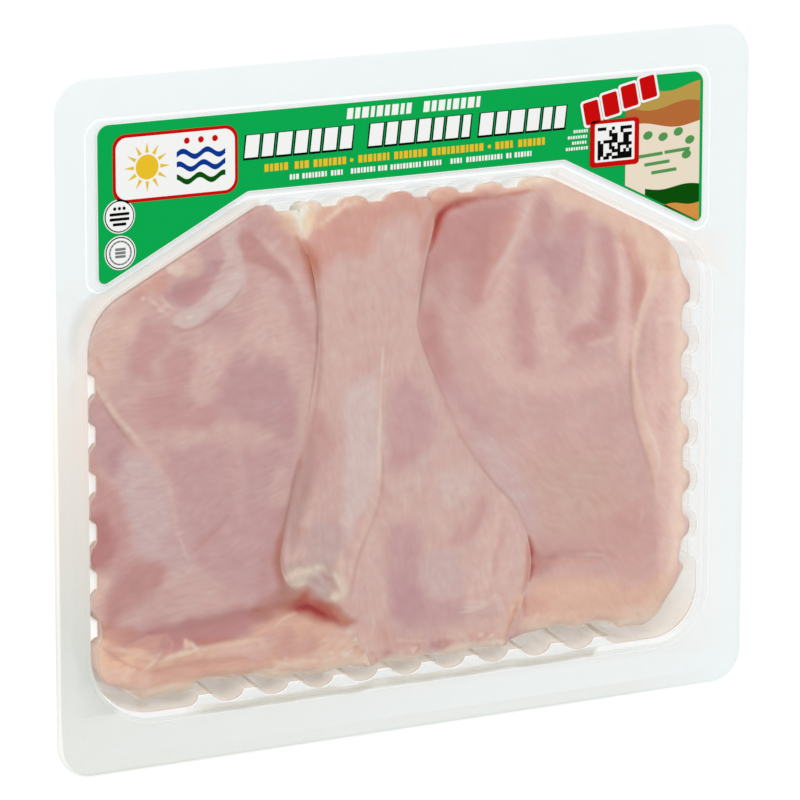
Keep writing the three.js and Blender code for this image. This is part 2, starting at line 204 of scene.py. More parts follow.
def pocket_loop(inset, reach, land_half=LAND_HALF, fill=None):
    """The pocket's outline at one inset, where the lands stand in by reach."""
    corners = moved_corners(POCKET_CORNERS, [inset] * 6)
    count = len(corners)
    points = []
    for i, corner in enumerate(corners):
        after = corners[(i + 1) % count]
        points += tangent_arc(corners[i - 1], corner, after, max(POCKET_RADII[i] - inset, LEAST_RADIUS))
        edge = POCKET_EDGES[i]
        if edge == "diagonal":
            continue
        along = unit(after - corner)
        upright = edge in ("left", "right")
        start = corner.imag if upright else corner.real
        step = along.imag if upright else along.real
        profile = land_profile(edge, land_half)
        if step < 0:
            profile.reverse()
        filled = (fill or {}).get(edge, 0)
        for k, (place, share) in enumerate(profile):
            at_end = k < FLUTE_STEPS or k >= len(profile) - FLUTE_STEPS
            stand = share if at_end else filled + (1 - filled) * share
            points.append(corner + along * (place - start) / step + 1j * along * reach * stand)
    return points


class Skin:
    """A mesh put together from rings or rows of points."""

    def __init__(self):
        self.points = []
        self.faces = []

    def ring(self, loop, height):
        first = len(self.points)
        self.points += [(place.real, place.imag, height) for place in loop]
        return list(range(first, len(self.points)))

    def band(self, lower, upper):
        for i, corner in enumerate(lower):
            after = (i + 1) % len(lower)
            self.faces.append((corner, lower[after], upper[after], upper[i]))

    def rings(self, rings):
        for lower, upper in zip(rings, rings[1:]):
            self.band(lower, upper)

    def sheet(self, rows, steps):
        """Faces between open rows of points, at the given steps along them."""
        for outer, inner in zip(rows, rows[1:]):
            self.faces += [(outer[i], outer[i + 1], inner[i + 1], inner[i]) for i in steps]

    def plate(self, loops, facing):
        """A flat plate; the first loop is its rim and the others are its holes."""
        indices = [i for loop in loops for i in loop]
        flat = [[Vector((*self.points[i][:2], 0)) for i in loop] for loop in loops]
        for triangle in tessellate_polygon(flat):
            a, b, c = (indices[k] for k in triangle)
            pa, pb, pc = (complex(*self.points[i][:2]) for i in (a, b, c))
            self.faces.append((a, b, c) if cross(pb - pa, pc - pa) * facing > 0 else (a, c, b))


def paint_points(piece, colours):
    """Stores one colour for each point of a piece, for its material to read."""
    layer = piece.data.color_attributes.new("paint", "FLOAT_COLOR", "POINT")
    colours = np.array(colours)
    rgba = np.ones((len(colours), 4), np.float32)
    rgba[:, :colours.shape[1]] = colours
    layer.data.foreach_set("color", rgba.ravel())


def add_object(name, data):
    thing = bpy.data.objects.new(name, data)
    bpy.context.scene.collection.objects.link(thing)
    return thing


def add_piece(name, points, faces, material, replaced=(), sharp=35):
    """Makes a smooth mesh piece that rides with the pack."""
    mesh = bpy.data.meshes.new(name)
    mesh.from_pydata((np.array(points, float) * MM).tolist(), [], faces)
    mesh.validate()
    mesh.shade_smooth()
    mesh.set_sharp_from_angle(angle=math.radians(sharp))
    mesh.materials.append(material)
    piece = add_object(name, mesh)
    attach(piece, "root")
    if replaced:
        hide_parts(replaced)
    return piece


def linear(colour):
    """Scene values of a colour given as red, green and blue from 0 to 255."""
    share = np.array(colour, float) / 255
    return np.where(share <= 0.04045, share / 12.92, ((share + 0.055) / 1.055) ** 2.4)


class Shader:
    """A node material with one Principled shader."""

    def __init__(self, name):
        self.material = bpy.data.materials.new(name)
        self.material.use_nodes = True
        self.nodes = self.material.node_tree.nodes
        self.principled = self.nodes["Principled BSDF"]
        self.place = self.add("ShaderNodeTexCoord").outputs["Object"]

    def add(self, kind, **settings):
        node = self.nodes.new(kind)
        for key, value in settings.items():
            setattr(node, key, value)
        return node

    def link(self, source, target):
        self.material.node_tree.links.new(source, target)

    def set(self, **values):
        for key, value in values.items():
            self.principled.inputs[key.replace("_", " ")].default_value = value

    def feed(self, **sources):
        for key, source in sources.items():
            self.link(source, self.principled.inputs[key.replace("_", " ")])

    def paint(self):
        """The colour stored at each point, with its fourth value as Alpha."""
        return self.add("ShaderNodeVertexColor", layer_name="paint").outputs

    def parts(self, colour):
        node = self.add("ShaderNodeSeparateColor")
        self.link(colour, node.inputs["Color"])
        return node.outputs

    def noise(self, size, detail=3, stretch=(1, 1, 1), turn=0.0, place=None):
        """Noise whose grains measure about size millimetres, drawn out by stretch."""
        mapping = self.add("ShaderNodeMapping", vector_type="TEXTURE")
        mapping.inputs["Rotation"].default_value = (0, 0, turn)
        mapping.inputs["Scale"].default_value = stretch
        self.link(self.place if place is None else place, mapping.inputs["Vector"])
        noise = self.add("ShaderNodeTexNoise")
        noise.inputs["Scale"].default_value = 1 / (size * MM)
        noise.inputs["Detail"].default_value = detail
        self.link(mapping.outputs["Vector"], noise.inputs["Vector"])
        return noise.outputs["Fac"]

    def bent_place(self, size, reach):
        """The place of each point, pushed about so that lines drawn from it bend."""
        noise = self.add("ShaderNodeTexNoise")
        noise.inputs["Scale"].default_value = 1 / (size * MM)
        noise.inputs["Detail"].default_value = 1
        self.link(self.place, noise.inputs["Vector"])
        pushed = self.add("ShaderNodeVectorMath", operation="MULTIPLY_ADD")
        self.link(noise.outputs["Color"], pushed.inputs[0])
        pushed.inputs[1].default_value = (reach * MM,) * 3
        self.link(self.place, pushed.inputs[2])
        return pushed.outputs["Vector"]

    def spread(self, value, low, high, low_out, high_out):
        node = self.add("ShaderNodeMapRange")
        for key, number in zip(("From Min", "From Max", "To Min", "To Max"), (low, high, low_out, high_out)):
            node.inputs[key].default_value = number
        self.link(value, node.inputs["Value"])
        return node.outputs["Result"]

    def blend(self, share, first, second):
        """One colour running into another; the second is plain, and the first can be."""
        node = self.add("ShaderNodeMix", data_type="RGBA")
        self.link(share, node.inputs["Factor"])
        if isinstance(first, bpy.types.NodeSocket):
            self.link(first, node.inputs["A"])
        else:
            node.inputs["A"].default_value = (*first, 1)
        node.inputs["B"].default_value = (*second, 1)
        return node.outputs["Result"]

    def math(self, operation, first, second):
        node = self.add("ShaderNodeMath", operation=operation)
        self.link(first, node.inputs[0])
        self.link(second, node.inputs[1])
        return node.outputs[0]


# Light that reaches a flat face; part of a plastic's brightness is a painted glow, an emission in place of
# the light that comes through it
FLAT_LIGHT = 1.16
# How much more painted glow the ledges in the pocket get, to lift their shade, where the paint asks for all
# of it
LEDGE_PAINTED_GLOW = 0.6
# Tint of the meat's pink light, painted on the plastic as reflection and show-through
PAINTED_MEAT_LIGHT_TINT = (232, 213, 202)
# Tint of the painted shade on the plastic, darker towards the lower left
PAINTED_SHADE_TINT = (190, 193, 187)
# How slanted a face is where plastic starts and ends changing its cover, and where its rim starts
FLAT_SLANT = 0.15
STEEP_SLANT = 0.45
RIM_SLANT = 0.8
# Index of refraction of plastic, flesh and juice: a little low, for soft reflections
SOFT_IOR = 1.3


def clear_plastic(name, tint, line_tint, flat, steep, edge, roughness, painted_glow=0.0):
    """Clear plastic: how much it hides where it is seen face on, at a slant and edge on.

    Plastic with a painted glow also reads its paint: painted pink light of the meat, what hides more, painted
    shade, and where its painted glow is raised.
    """
    shader = Shader(name)

    def toned(colour):
        return linear(colour) * FLAT_LIGHT / (FLAT_LIGHT + painted_glow)

    rgb = toned(tint)
    colour = shader.blend(shader.noise(25, detail=0), rgb, rgb * 0.97)
    weight = shader.add("ShaderNodeLayerWeight")
    weight.inputs["Blend"].default_value = 0.5
    facing = weight.outputs["Facing"]
    body = shader.spread(facing, FLAT_SLANT, STEEP_SLANT, flat, steep)
    rim = shader.spread(facing, RIM_SLANT, 1, 0, 1)
    if painted_glow:
        paint = shader.paint()
        parts = shader.parts(paint["Color"])
        # Painted pink light of the meat
        colour = shader.blend(parts["Red"], colour, toned(PAINTED_MEAT_LIGHT_TINT))
        # Painted shade
        colour = shader.blend(parts["Blue"], colour, toned(PAINTED_SHADE_TINT))
        body = shader.math("ADD", body, shader.spread(parts["Green"], 0, 1, 0, 1))
    colour = shader.blend(rim, colour, toned(line_tint))
    shader.feed(Base_Color=colour, Alpha=shader.math("MAXIMUM", body, shader.spread(rim, 0, 1, 0, edge)))
    # Painted glow: the plastic emits its own colour, more of it where the paint raises it
    if painted_glow:
        painted_glow_lift = shader.spread(paint["Alpha"], 0, 1, painted_glow, painted_glow + LEDGE_PAINTED_GLOW)
        shader.feed(Emission_Color=colour, Emission_Strength=painted_glow_lift)
    shader.set(Roughness=roughness, IOR=SOFT_IOR)
    return shader.material


# Tray
LABEL_CORNERS = [POCKET_X + place for place in (
    complex(-LABEL_HALF_WIDTH, LABEL_WING_Y),
    complex(-LABEL_HALF_MIDDLE, LABEL_MIDDLE_Y),
    complex(LABEL_HALF_MIDDLE, LABEL_MIDDLE_Y),
    complex(LABEL_HALF_WIDTH, LABEL_WING_Y),
    complex(LABEL_HALF_WIDTH, LABEL_TOP_Y),
    complex(-LABEL_HALF_WIDTH, LABEL_TOP_Y),
)]
# A groove runs round the label: how far out of the card, edge by edge, how wide and how deep
GROOVE_OUT = {"side": 3.2, "slant": 1.7, "top": 1.0}
GROOVE_EDGES = ["slant", "slant", "slant", "side", "top", "side"]
GROOVE_RADII = [4.5, 3, 3, 4.5, 6, 6]
GROOVE_WIDTH = 0.9
GROOVE_DEPTH = 0.6
# Sections, from the outside in: the groove, as shares of its width and depth, and the ridge round
# the pocket's mouth, as inset and rise. The edges of the mouth and of the lands are rounded.
GROOVE = [(1, 0), (0.65, 1), (0.35, 1), (0, 0)]
RIDGE = [(-2.1, 0), (-1.8, 0.22), (-1.3, 0.22), (-1.0, 0)]
MOUTH_ROUND = 0.7
LAND_ROUND = 0.6


def groove_loop(extra):
    """The inner edge of the groove round the label, moved outwards by an extra distance.

    The two corners over the pocket keep their rounding.
    """
    corners = moved_corners(LABEL_CORNERS, [-(GROOVE_OUT[edge] + extra) for edge in GROOVE_EDGES])
    radii = [radius + extra * (i not in (1, 2)) for i, radius in enumerate(GROOVE_RADII)]
    return rounded_outline(corners, radii)


def rounded_edge(radius, steps):
    """Sideways and downward travel along a quarter round, in steps."""
    angles = [math.pi / 2 * k / steps for k in range(steps + 1)]
    return [(radius * math.sin(angle), radius * (1 - math.cos(angle))) for angle in angles]


def with_steps(loop, steps=24):
    """The loop with points added along its long straight runs."""
    dense = []
    for i, place in enumerate(loop):
        after = loop[(i + 1) % len(loop)]
        count = steps if abs(after - place) > LONG_RUN else 1
        dense += [place + (after - place) * k / count for k in range(count)]
    return dense


def make_tray(material):
    skin = Skin()
    # Rim: inset and height, up from the skirt over the shoulder
    skirt_z = FLANGE_TOP - SKIRT_DROP
    rows = [(WALL, skirt_z + 0.1), (WALL * 0.4, skirt_z), (0, skirt_z + 0.1)]
    rows += [(SHOULDER - inward, FLANGE_TOP - drop) for inward, drop in reversed(rounded_edge(SHOULDER, 6))]
    rows += [(3.5, FLANGE_TOP), (6, FLANGE_TOP)]
    edge = [skin.ring(with_steps(flange_loop(inset)), z) for inset, z in rows]
    skin.rings(edge)
    groove = [skin.ring(groove_loop(GROOVE_WIDTH * width), FLANGE_TOP - GROOVE_DEPTH * depth)
              for width, depth in GROOVE]
    skin.rings(groove)
    skin.plate([groove[-1]], 1)
    # Pocket: inset, how far the lands stand in, and height, down to the floor
    rows = [(inset, 0, FLANGE_TOP + rise) for inset, rise in RIDGE]
    rows += [(inward - MOUTH_ROUND, 0, FLANGE_TOP - drop) for inward, drop in rounded_edge(MOUTH_ROUND, 4)]
    rows += [
        (STEP_INSET - 0.15, 0, LEDGE_Z + 0.3),
        (STEP_INSET, 0, LEDGE_Z),
        (LEDGE_INSET, LAND_REACH - 0.7, LEDGE_Z),
    ]
    rows += [(LEDGE_INSET, LAND_REACH - LAND_ROUND + inward, LEDGE_Z - drop)
             for inward, drop in rounded_edge(LAND_ROUND, 3)[1:]]
    rows += [
        (WALL_FOOT_INSET, LAND_REACH, WALL_FOOT_Z),
        (WALL_FOOT_INSET + 0.4, LAND_REACH * 0.93, 4.1),
        (ROUND_INSET, LAND_REACH * 0.8, ROUND_Z),
        (5.4, LAND_REACH * 0.7, 0.9),
        (FLOOR_INSET, LAND_REACH * 0.6, TRAY_FLOOR_Z),
    ]
    inside = [skin.ring(pocket_loop(inset, reach), z) for inset, reach, z in rows]
    skin.plate([edge[-1], groove[0], inside[0]], 1)
    skin.rings(inside)
    skin.plate([inside[-1]], 1)
    tray = add_piece("clear_tray", skin.points, skin.faces, material, "tray")
    tray.modifiers.new("even_shading", "WEIGHTED_NORMAL").keep_sharp = True
    paint_points(tray, tray_tints(np.array(skin.points)))


def tray_tints(points):
    """For each point: how much painted pink light of the meat it shows, how much more it hides, how much
    painted shade it has, and whether its painted glow is raised.

    The tints: painted pink light from the meat, reflected and seen through, round the pocket's mouth, more of
    it along the slanted edges, the low wall and the left strip; painted shade towards the lower left; and
    ledges brightened by painted glow.
    """
    x, y, z = points.T
    out = -np.min(pocket_depths(x + 1j * y), axis=0)
    near_rim = np.exp(-(np.maximum(out - 1.5, 0) / 2.2) ** 2) * (z > LEDGE_Z - 1)
    slanted = (np.abs(x - POCKET_X) > POCKET_TOP_HALF) & (y > POCKET_SHOULDER_Y - 4)
    upper_left = slanted & (x < 60)
    left = x < -120
    low = (z < LEDGE_Z - 0.2) & (y < POCKET_BOTTOM_Y + 14)
    left_strip = (x < -129.5) * np.exp(-((y + 30) / 62) ** 4)
    # Painted pink light of the meat round the mouth, on the low wall and on the left strip
    painted_meat_light = near_rim * (0.15 + 0.35 * slanted + 0.15 * upper_left + 0.1 * left)
    painted_meat_light = painted_meat_light + 0.8 * low + 0.7 * left_strip
    # Painted shade: grey that grows towards the lower left and along the upper left rim
    grey = 1 - np.clip((x - 90) / 42, 0, 1) + 0.35 * np.clip((-40 - x) / 100, 0, 1)
    grey = np.maximum(np.clip((60 - y) / 170, 0, 1) * grey, 0.5 * near_rim * upper_left)
    cover = near_rim * np.select([slanted & (x > 0), slanted, left], [0.2, 0.4, 0.3], 0) + 0.34 * left_strip
    # Where the plastic's painted glow is raised to lift shade: ledges and walls at the left and top of the
    # pocket, deeper in the notch, and the outer rim's lower and right edges
    depth = np.where((y > 62) & (np.abs(x + 45) < 12), 10, LEDGE_Z - 0.7)
    painted_glow_lift = (z < FLANGE_TOP - 0.3) & (z > depth) & (left | (y > 45))
    painted_glow_lift |= (z < FLANGE_TOP - 0.2) & (out > 6) & ((y < -112) | (x > 134))
    return np.clip(np.stack([painted_meat_light, cover, 0.8 * grey * (z > LEDGE_Z), painted_glow_lift], axis=1), 0, 1)


# Film, and the shapes that film and meat are made with
FILM_GRID = 3.0
FILM_RIM_STEP = 4.0


def eased(share):
    """A share from 0 to 1 that starts and ends gently."""
    share = np.clip(share, 0, 1)
    return share * share * (3 - 2 * share)


def film_height(places):
    """Underside of the film: flat over the flange, rising in a smooth swell over the meat."""
    run = np.min(pocket_depths(places), axis=0) / FILM_RISE_RUN
    return FILM_Z + FILM_RISE * eased(run)


def triangulated(outline, inner):
    """Triangles that fill a closed outline and use the inner points, as (points, faces)."""
    flat = [Vector((p.real, p.imag)) for p in [*outline, *inner]]
    rim = [list(range(len(outline)))]
    found = delaunay_2d_cdt(flat, [], rim, 1, 1e-5)
    places = np.array([complex(v.x, v.y) for v in found[0]])
    return places, [tuple(face) for face in found[2]]


def hex_grid(outline, spacing, margin):
    """Points in a regular triangular pattern, at least margin inside an outline."""
    box = np.array(outline)
    rows = np.arange(box.imag.min(), box.imag.max(), spacing * math.sqrt(3) / 2)
    grid = []
    for k, y in enumerate(rows):
        x = np.arange(box.real.min() + (k % 2) * spacing / 2, box.real.max(), spacing)
        grid.append(x + 1j * y)
    grid = np.concatenate(grid)
    distance, _ = outline_distance(outline, grid)
    return grid[(distance > margin) & inside_outline(outline, grid)]


def inside_outline(outline, places):
    line = np.array(outline)
    after = np.roll(line, -1)
    inside = np.zeros(len(places), bool)
    for a, b in zip(line, after):
        crosses = (a.imag > places.imag) != (b.imag > places.imag)
        if crosses.any():
            x = a.real + (b.real - a.real) * (places.imag - a.imag) / (b.imag - a.imag)
            inside ^= crosses & (places.real < x)
    return inside


def segment_distance(a, b, places):
    """Distance from places to the straight line a to b, and the share of the way along it."""
    along = b - a
    length = np.maximum(np.abs(along) ** 2, 1e-12)
    share = np.clip(((places - a) * np.conj(along)).real / length, 0, 1)
    return np.abs(places - a - share * along), share


def outline_distance(outline, places):
    """Distance to a closed outline, and the index of its nearest point."""
    line = np.array(outline)
    places = np.asarray(places)
    distance = np.empty(len(places))
    nearest = np.empty(len(places), int)
    for first in range(0, len(places), 2000):
        part = places[first:first + 2000]
        k = np.abs(part[:, None] - line[None, :]).argmin(axis=1)
        ahead, _ = segment_distance(line[k], line[(k + 1) % len(line)], part)
        behind, _ = segment_distance(line[k - 1], line[k], part)
        distance[first:first + 2000] = np.minimum(ahead, behind)
        nearest[first:first + 2000] = k
    return distance, nearest


def spline(a, b, c, d, t):
    """Shares t of the way from b to c, on a smooth curve that comes from a and goes on to d."""
    return 0.5 * (2 * b + (c - a) * t + (2*a - 5*b + 4*c - d) * t**2 + (3*b - a - 3*c + d) * t**3)


def resampled(line, spacing, least, open_end=False, values=None):
    """A line, and the values along it, at an even spacing."""
    run = np.concatenate([[0], np.cumsum(np.abs(np.diff(line)))])
    even = np.linspace(0, run[-1], max(least, round(run[-1] / spacing)), endpoint=open_end)
    if values is not None:
        values = np.stack([np.interp(even, run, column) for column in values.T], axis=1)
    return np.interp(even, run, line.real) + 1j * np.interp(even, run, line.imag), values


def curve(points, spacing):
    """A smooth open curve through points, resampled at an even spacing."""
    ends = [2 * points[0] - points[1], *points, 2 * points[-1] - points[-2]]
    t = np.linspace(0, 1, 24, endpoint=False)
    fine = [spline(*four, t) for four in zip(ends, ends[1:], ends[2:], ends[3:])]
    return resampled(np.concatenate([*fine, [points[-1]]]), spacing, 2, True)[0]


def curve_closed(loop, spacing):
    """A closed loop resampled at an even spacing."""
    return resampled(np.array([*loop, loop[0]]), spacing, 8)[0]


def round_curve(points, spacing):
    """A smooth closed curve through points, resampled at an even spacing."""
    four = (np.roll(points, turn)[:, None] for turn in (1, 0, -1, -2))
    return curve_closed(spline(*four, np.linspace(0, 1, 16, endpoint=False)).ravel(), spacing)


def spot(place):
    """A place as a key that equal places share."""
    return round(place.real, 3), round(place.imag, 3)


def make_film(material):
    rim = curve_closed(flange_loop(FILM_MARGIN), FILM_RIM_STEP)
    places, faces = triangulated(rim, hex_grid(rim, FILM_GRID, 2.0))
    under = film_height(places)
    count = len(places)
    points = [(p.real, p.imag, z + rise) for rise in (0, FILM_THICKNESS) for p, z in zip(places, under)]
    closed = [tuple(reversed(face)) for face in faces]
    closed += [tuple(i + count for i in face) for face in faces]
    order = {spot(place): i for i, place in enumerate(places)}
    loop = [order[spot(place)] for place in rim]
    for corner, after in zip(loop, [*loop[1:], loop[0]]):
        closed.append((corner, after, after + count, corner + count))
    add_piece("clear_film", points, closed, material, "film")


# Meat
MEAT_GRID = 0.66
TOP_INSETS = [0.1, 0.35, 0.8, 1.4, 2.2, 3.2, 4.4, 5.8]
FOOT_RUN = 8.5
FOOT_INSETS = [0.3, 1.0, 2.0, 2.3, 3.2, 5.5, 10.5]
FOOT_GRID = 7.0
# Swells over the top of each breast, and the height from which a rim counts as lying at a seam
SWELL = 0.25
SEAM_RIM_Z = 27.5
SEAM_RIM_RISE = 1.5
OVERHANG_Z = LEDGE_Z + 0.35
# How the meat lies along each side of the pocket: how far from the wall, how high its widest
# line lies, how wide its top rolls over, and how far it hangs over the ledge
SIDES = {
    "bottom": (3.4, 23.5, 5, 0),
    "right": (4.0, 23.0, 5, 0),
    "top": (0.7, 26.0, 2.6, 0.9),
    "left": (0.4, 27.3, 1.7, 1.1),
    "slant": (0.75, 27.2, 1.9, 0),
    "seam": (0, 29.5, 2.4, 0),
}
# Places where the meat stands back from the wall: place, radius, distance and how flat its
# middle is
RETREATS = [
    (-131-96j, 11, 2.6, 3),
    (-133-82j, 16, 2.2, 3),
    (-124-108j, 15, 4.8, 4),
    (-86-107j, 28, 3.4, 4),
    (58-107j, 15, 5.0, 3),
    (76-107j, 14, 4.4, 3),
    (92-107j, 13, 3.6, 3),
    (106-107j, 12, 4.0, 3),
    (117-98j, 17.5, 9.6, 2.5),
    (116+6j, 38, 1.4, 6),
    (121+43j, 13, 6.0, 2.5),
    (-45.5+77j, 4.0, 2.5, 2),
]


def smoothed(line, window):
    """A closed line of values averaged over a window of neighbours."""
    kernel = np.hanning(2 * window + 3)[1:-1]
    kernel = kernel / kernel.sum()
    wrapped = np.concatenate([line[-window:], line, line[:window]])
    return np.convolve(wrapped, kernel, mode="valid")


def seam_x(seam, y):
    order = np.argsort(seam.imag)
    return np.interp(y, seam.imag[order], seam.real[order])


def wall_side(places):
    """Which side of the pocket each place on the wall belongs to."""
    sides = ["bottom", "right", "slant", "top", "slant", "left"]
    return [sides[k] for k in np.argmin(pocket_depths(places), axis=0)]


def meat_wall():
    """The meat's outer outline along the pocket wall, with the facts of each place's side."""
    loops = {}
    for side, (inset, _, _, hang) in SIDES.items():
        reach = LAND_REACH - hang
        loops[side] = np.array(pocket_loop(inset + 0.1, reach, MEAT_LAND_HALF, FLUTE_FILL))
    guide = np.array(pocket_loop(2, 0, MEAT_LAND_HALF, FLUTE_FILL))
    names = wall_side(guide)
    share = {side: smoothed(np.array([name == side for name in names], float), 4) for side in loops}
    line = sum(share[side] * loops[side] for side in loops)
    facts = sum(share[side][:, None] * np.array(SIDES[side][1:]) for side in loops)
    line, facts = resampled_loop(line, facts)
    inward = 1j * np.gradient(line)
    inward = inward / np.maximum(np.abs(inward), 1e-9)
    push = np.zeros(len(line))
    for place, radius, distance, flatness in RETREATS:
        push = np.maximum(push, distance * np.exp(-(np.abs(line - place) / radius) ** flatness))
    line = line + smoothed(inward, 6) * push
    return resampled_loop(line, facts)


def resampled_loop(line, facts):
    """A closed line and the facts along it, at an even spacing."""
    return resampled(np.append(line, line[0]), MEAT_GRID, 8, values=np.vstack([facts, facts[:1]]))


def breast_outlines():
    """Outlines of the three breasts, each with the facts of its edge along the way."""
    wall, wall_facts = meat_wall()
    left, right = curve(LEFT_SEAM, MEAT_GRID), curve(RIGHT_SEAM, MEAT_GRID)
    clearance = SEAM_HALF_GAP + 0.6
    seam_facts = np.array(SIDES["seam"][1:], float)

    def seam_side(seam, distance):
        step = np.gradient(seam)
        moved = seam + 1j * step / np.abs(step) * distance
        near = outline_distance(wall, moved)[0]
        moved = moved[inside_outline(wall, moved) & (near > 1.0)]
        return moved, np.tile(seam_facts, (len(moved), 1))

    def stretch(chosen):
        line, facts = wall[chosen], wall_facts[chosen]
        first = -1 - int(np.abs(np.roll(line, -1) - line).argmax())
        return np.roll(line, first), np.roll(facts, first, axis=0)

    def backwards(part):
        return part[0][::-1], part[1][::-1]

    from_left = wall.real - seam_x(left, wall.imag)
    from_right = wall.real - seam_x(right, wall.imag)
    between = (from_left > clearance) & (from_right < -clearance)
    parts = {
        "left": [stretch(from_left < -clearance), backwards(seam_side(left, -SEAM_HALF_GAP))],
        "middle": [
            stretch(between & (wall.imag < 0)), backwards(seam_side(right, -SEAM_HALF_GAP)),
            stretch(between & (wall.imag > 0)), seam_side(left, SEAM_HALF_GAP),
        ],
        "right": [stretch(from_right > clearance), seam_side(right, SEAM_HALF_GAP)],
    }
    outlines = {}
    for name, pieces in parts.items():
        line, facts = (np.concatenate(part) for part in zip(*pieces))
        line, facts = resampled_loop(line, facts)
        facts = np.stack([smoothed(facts[:, k], 6) for k in range(facts.shape[1])], axis=1)
        outlines[name] = (smoothed(line, 2), facts)
    return outlines


MEAT_TONES = {
    "flesh": (203, 166, 160),
    "sand": (207, 173, 165),
    "beige": (201, 166, 154),
    "rose": (197, 151, 147),
    "brick": (190, 141, 136),
    "wine": (183, 127, 124),
    "plum": (189, 148, 149),
    "mauve": (195, 156, 155),
    "grey": (203, 174, 171),
    "pearl": (209, 185, 180),
    "pale": (212, 177, 169),
    "peach": (216, 182, 170),
    "blush": (222, 185, 176),
    "coral": (206, 156, 143),
    "orange": (215, 171, 153),
    "apricot": (217, 177, 155),
    "cream": (224, 190, 172),
    "butter": (229, 208, 190),
    "fat": (224, 203, 190),
    "yellow": (226, 199, 165),
    "rust": (188, 122, 102),
    "red": (165, 74, 58),
    # line: painted shade for seams and folds
    "line": (172, 128, 118),
    # deep: the crevices' red, darkened by painted shade
    "deep": (160, 48, 26),
    "gold": (231, 190, 164),
    "knob": (190, 162, 152),
    "ember": (190, 124, 104),
    "clay": (175, 122, 110),
    "umber": (181, 146, 139),
    "bone": (206, 190, 174),
    "lilac": (190, 163, 161),
    # rim and flank: painted light, paler than the flesh, for rolled edges and sides that lie in shade
    "rim": (238, 210, 193),
    "flank_painted_light": (250, 238, 226),
    "shell": (218, 177, 158),
    "tendon": (230, 225, 212),
}

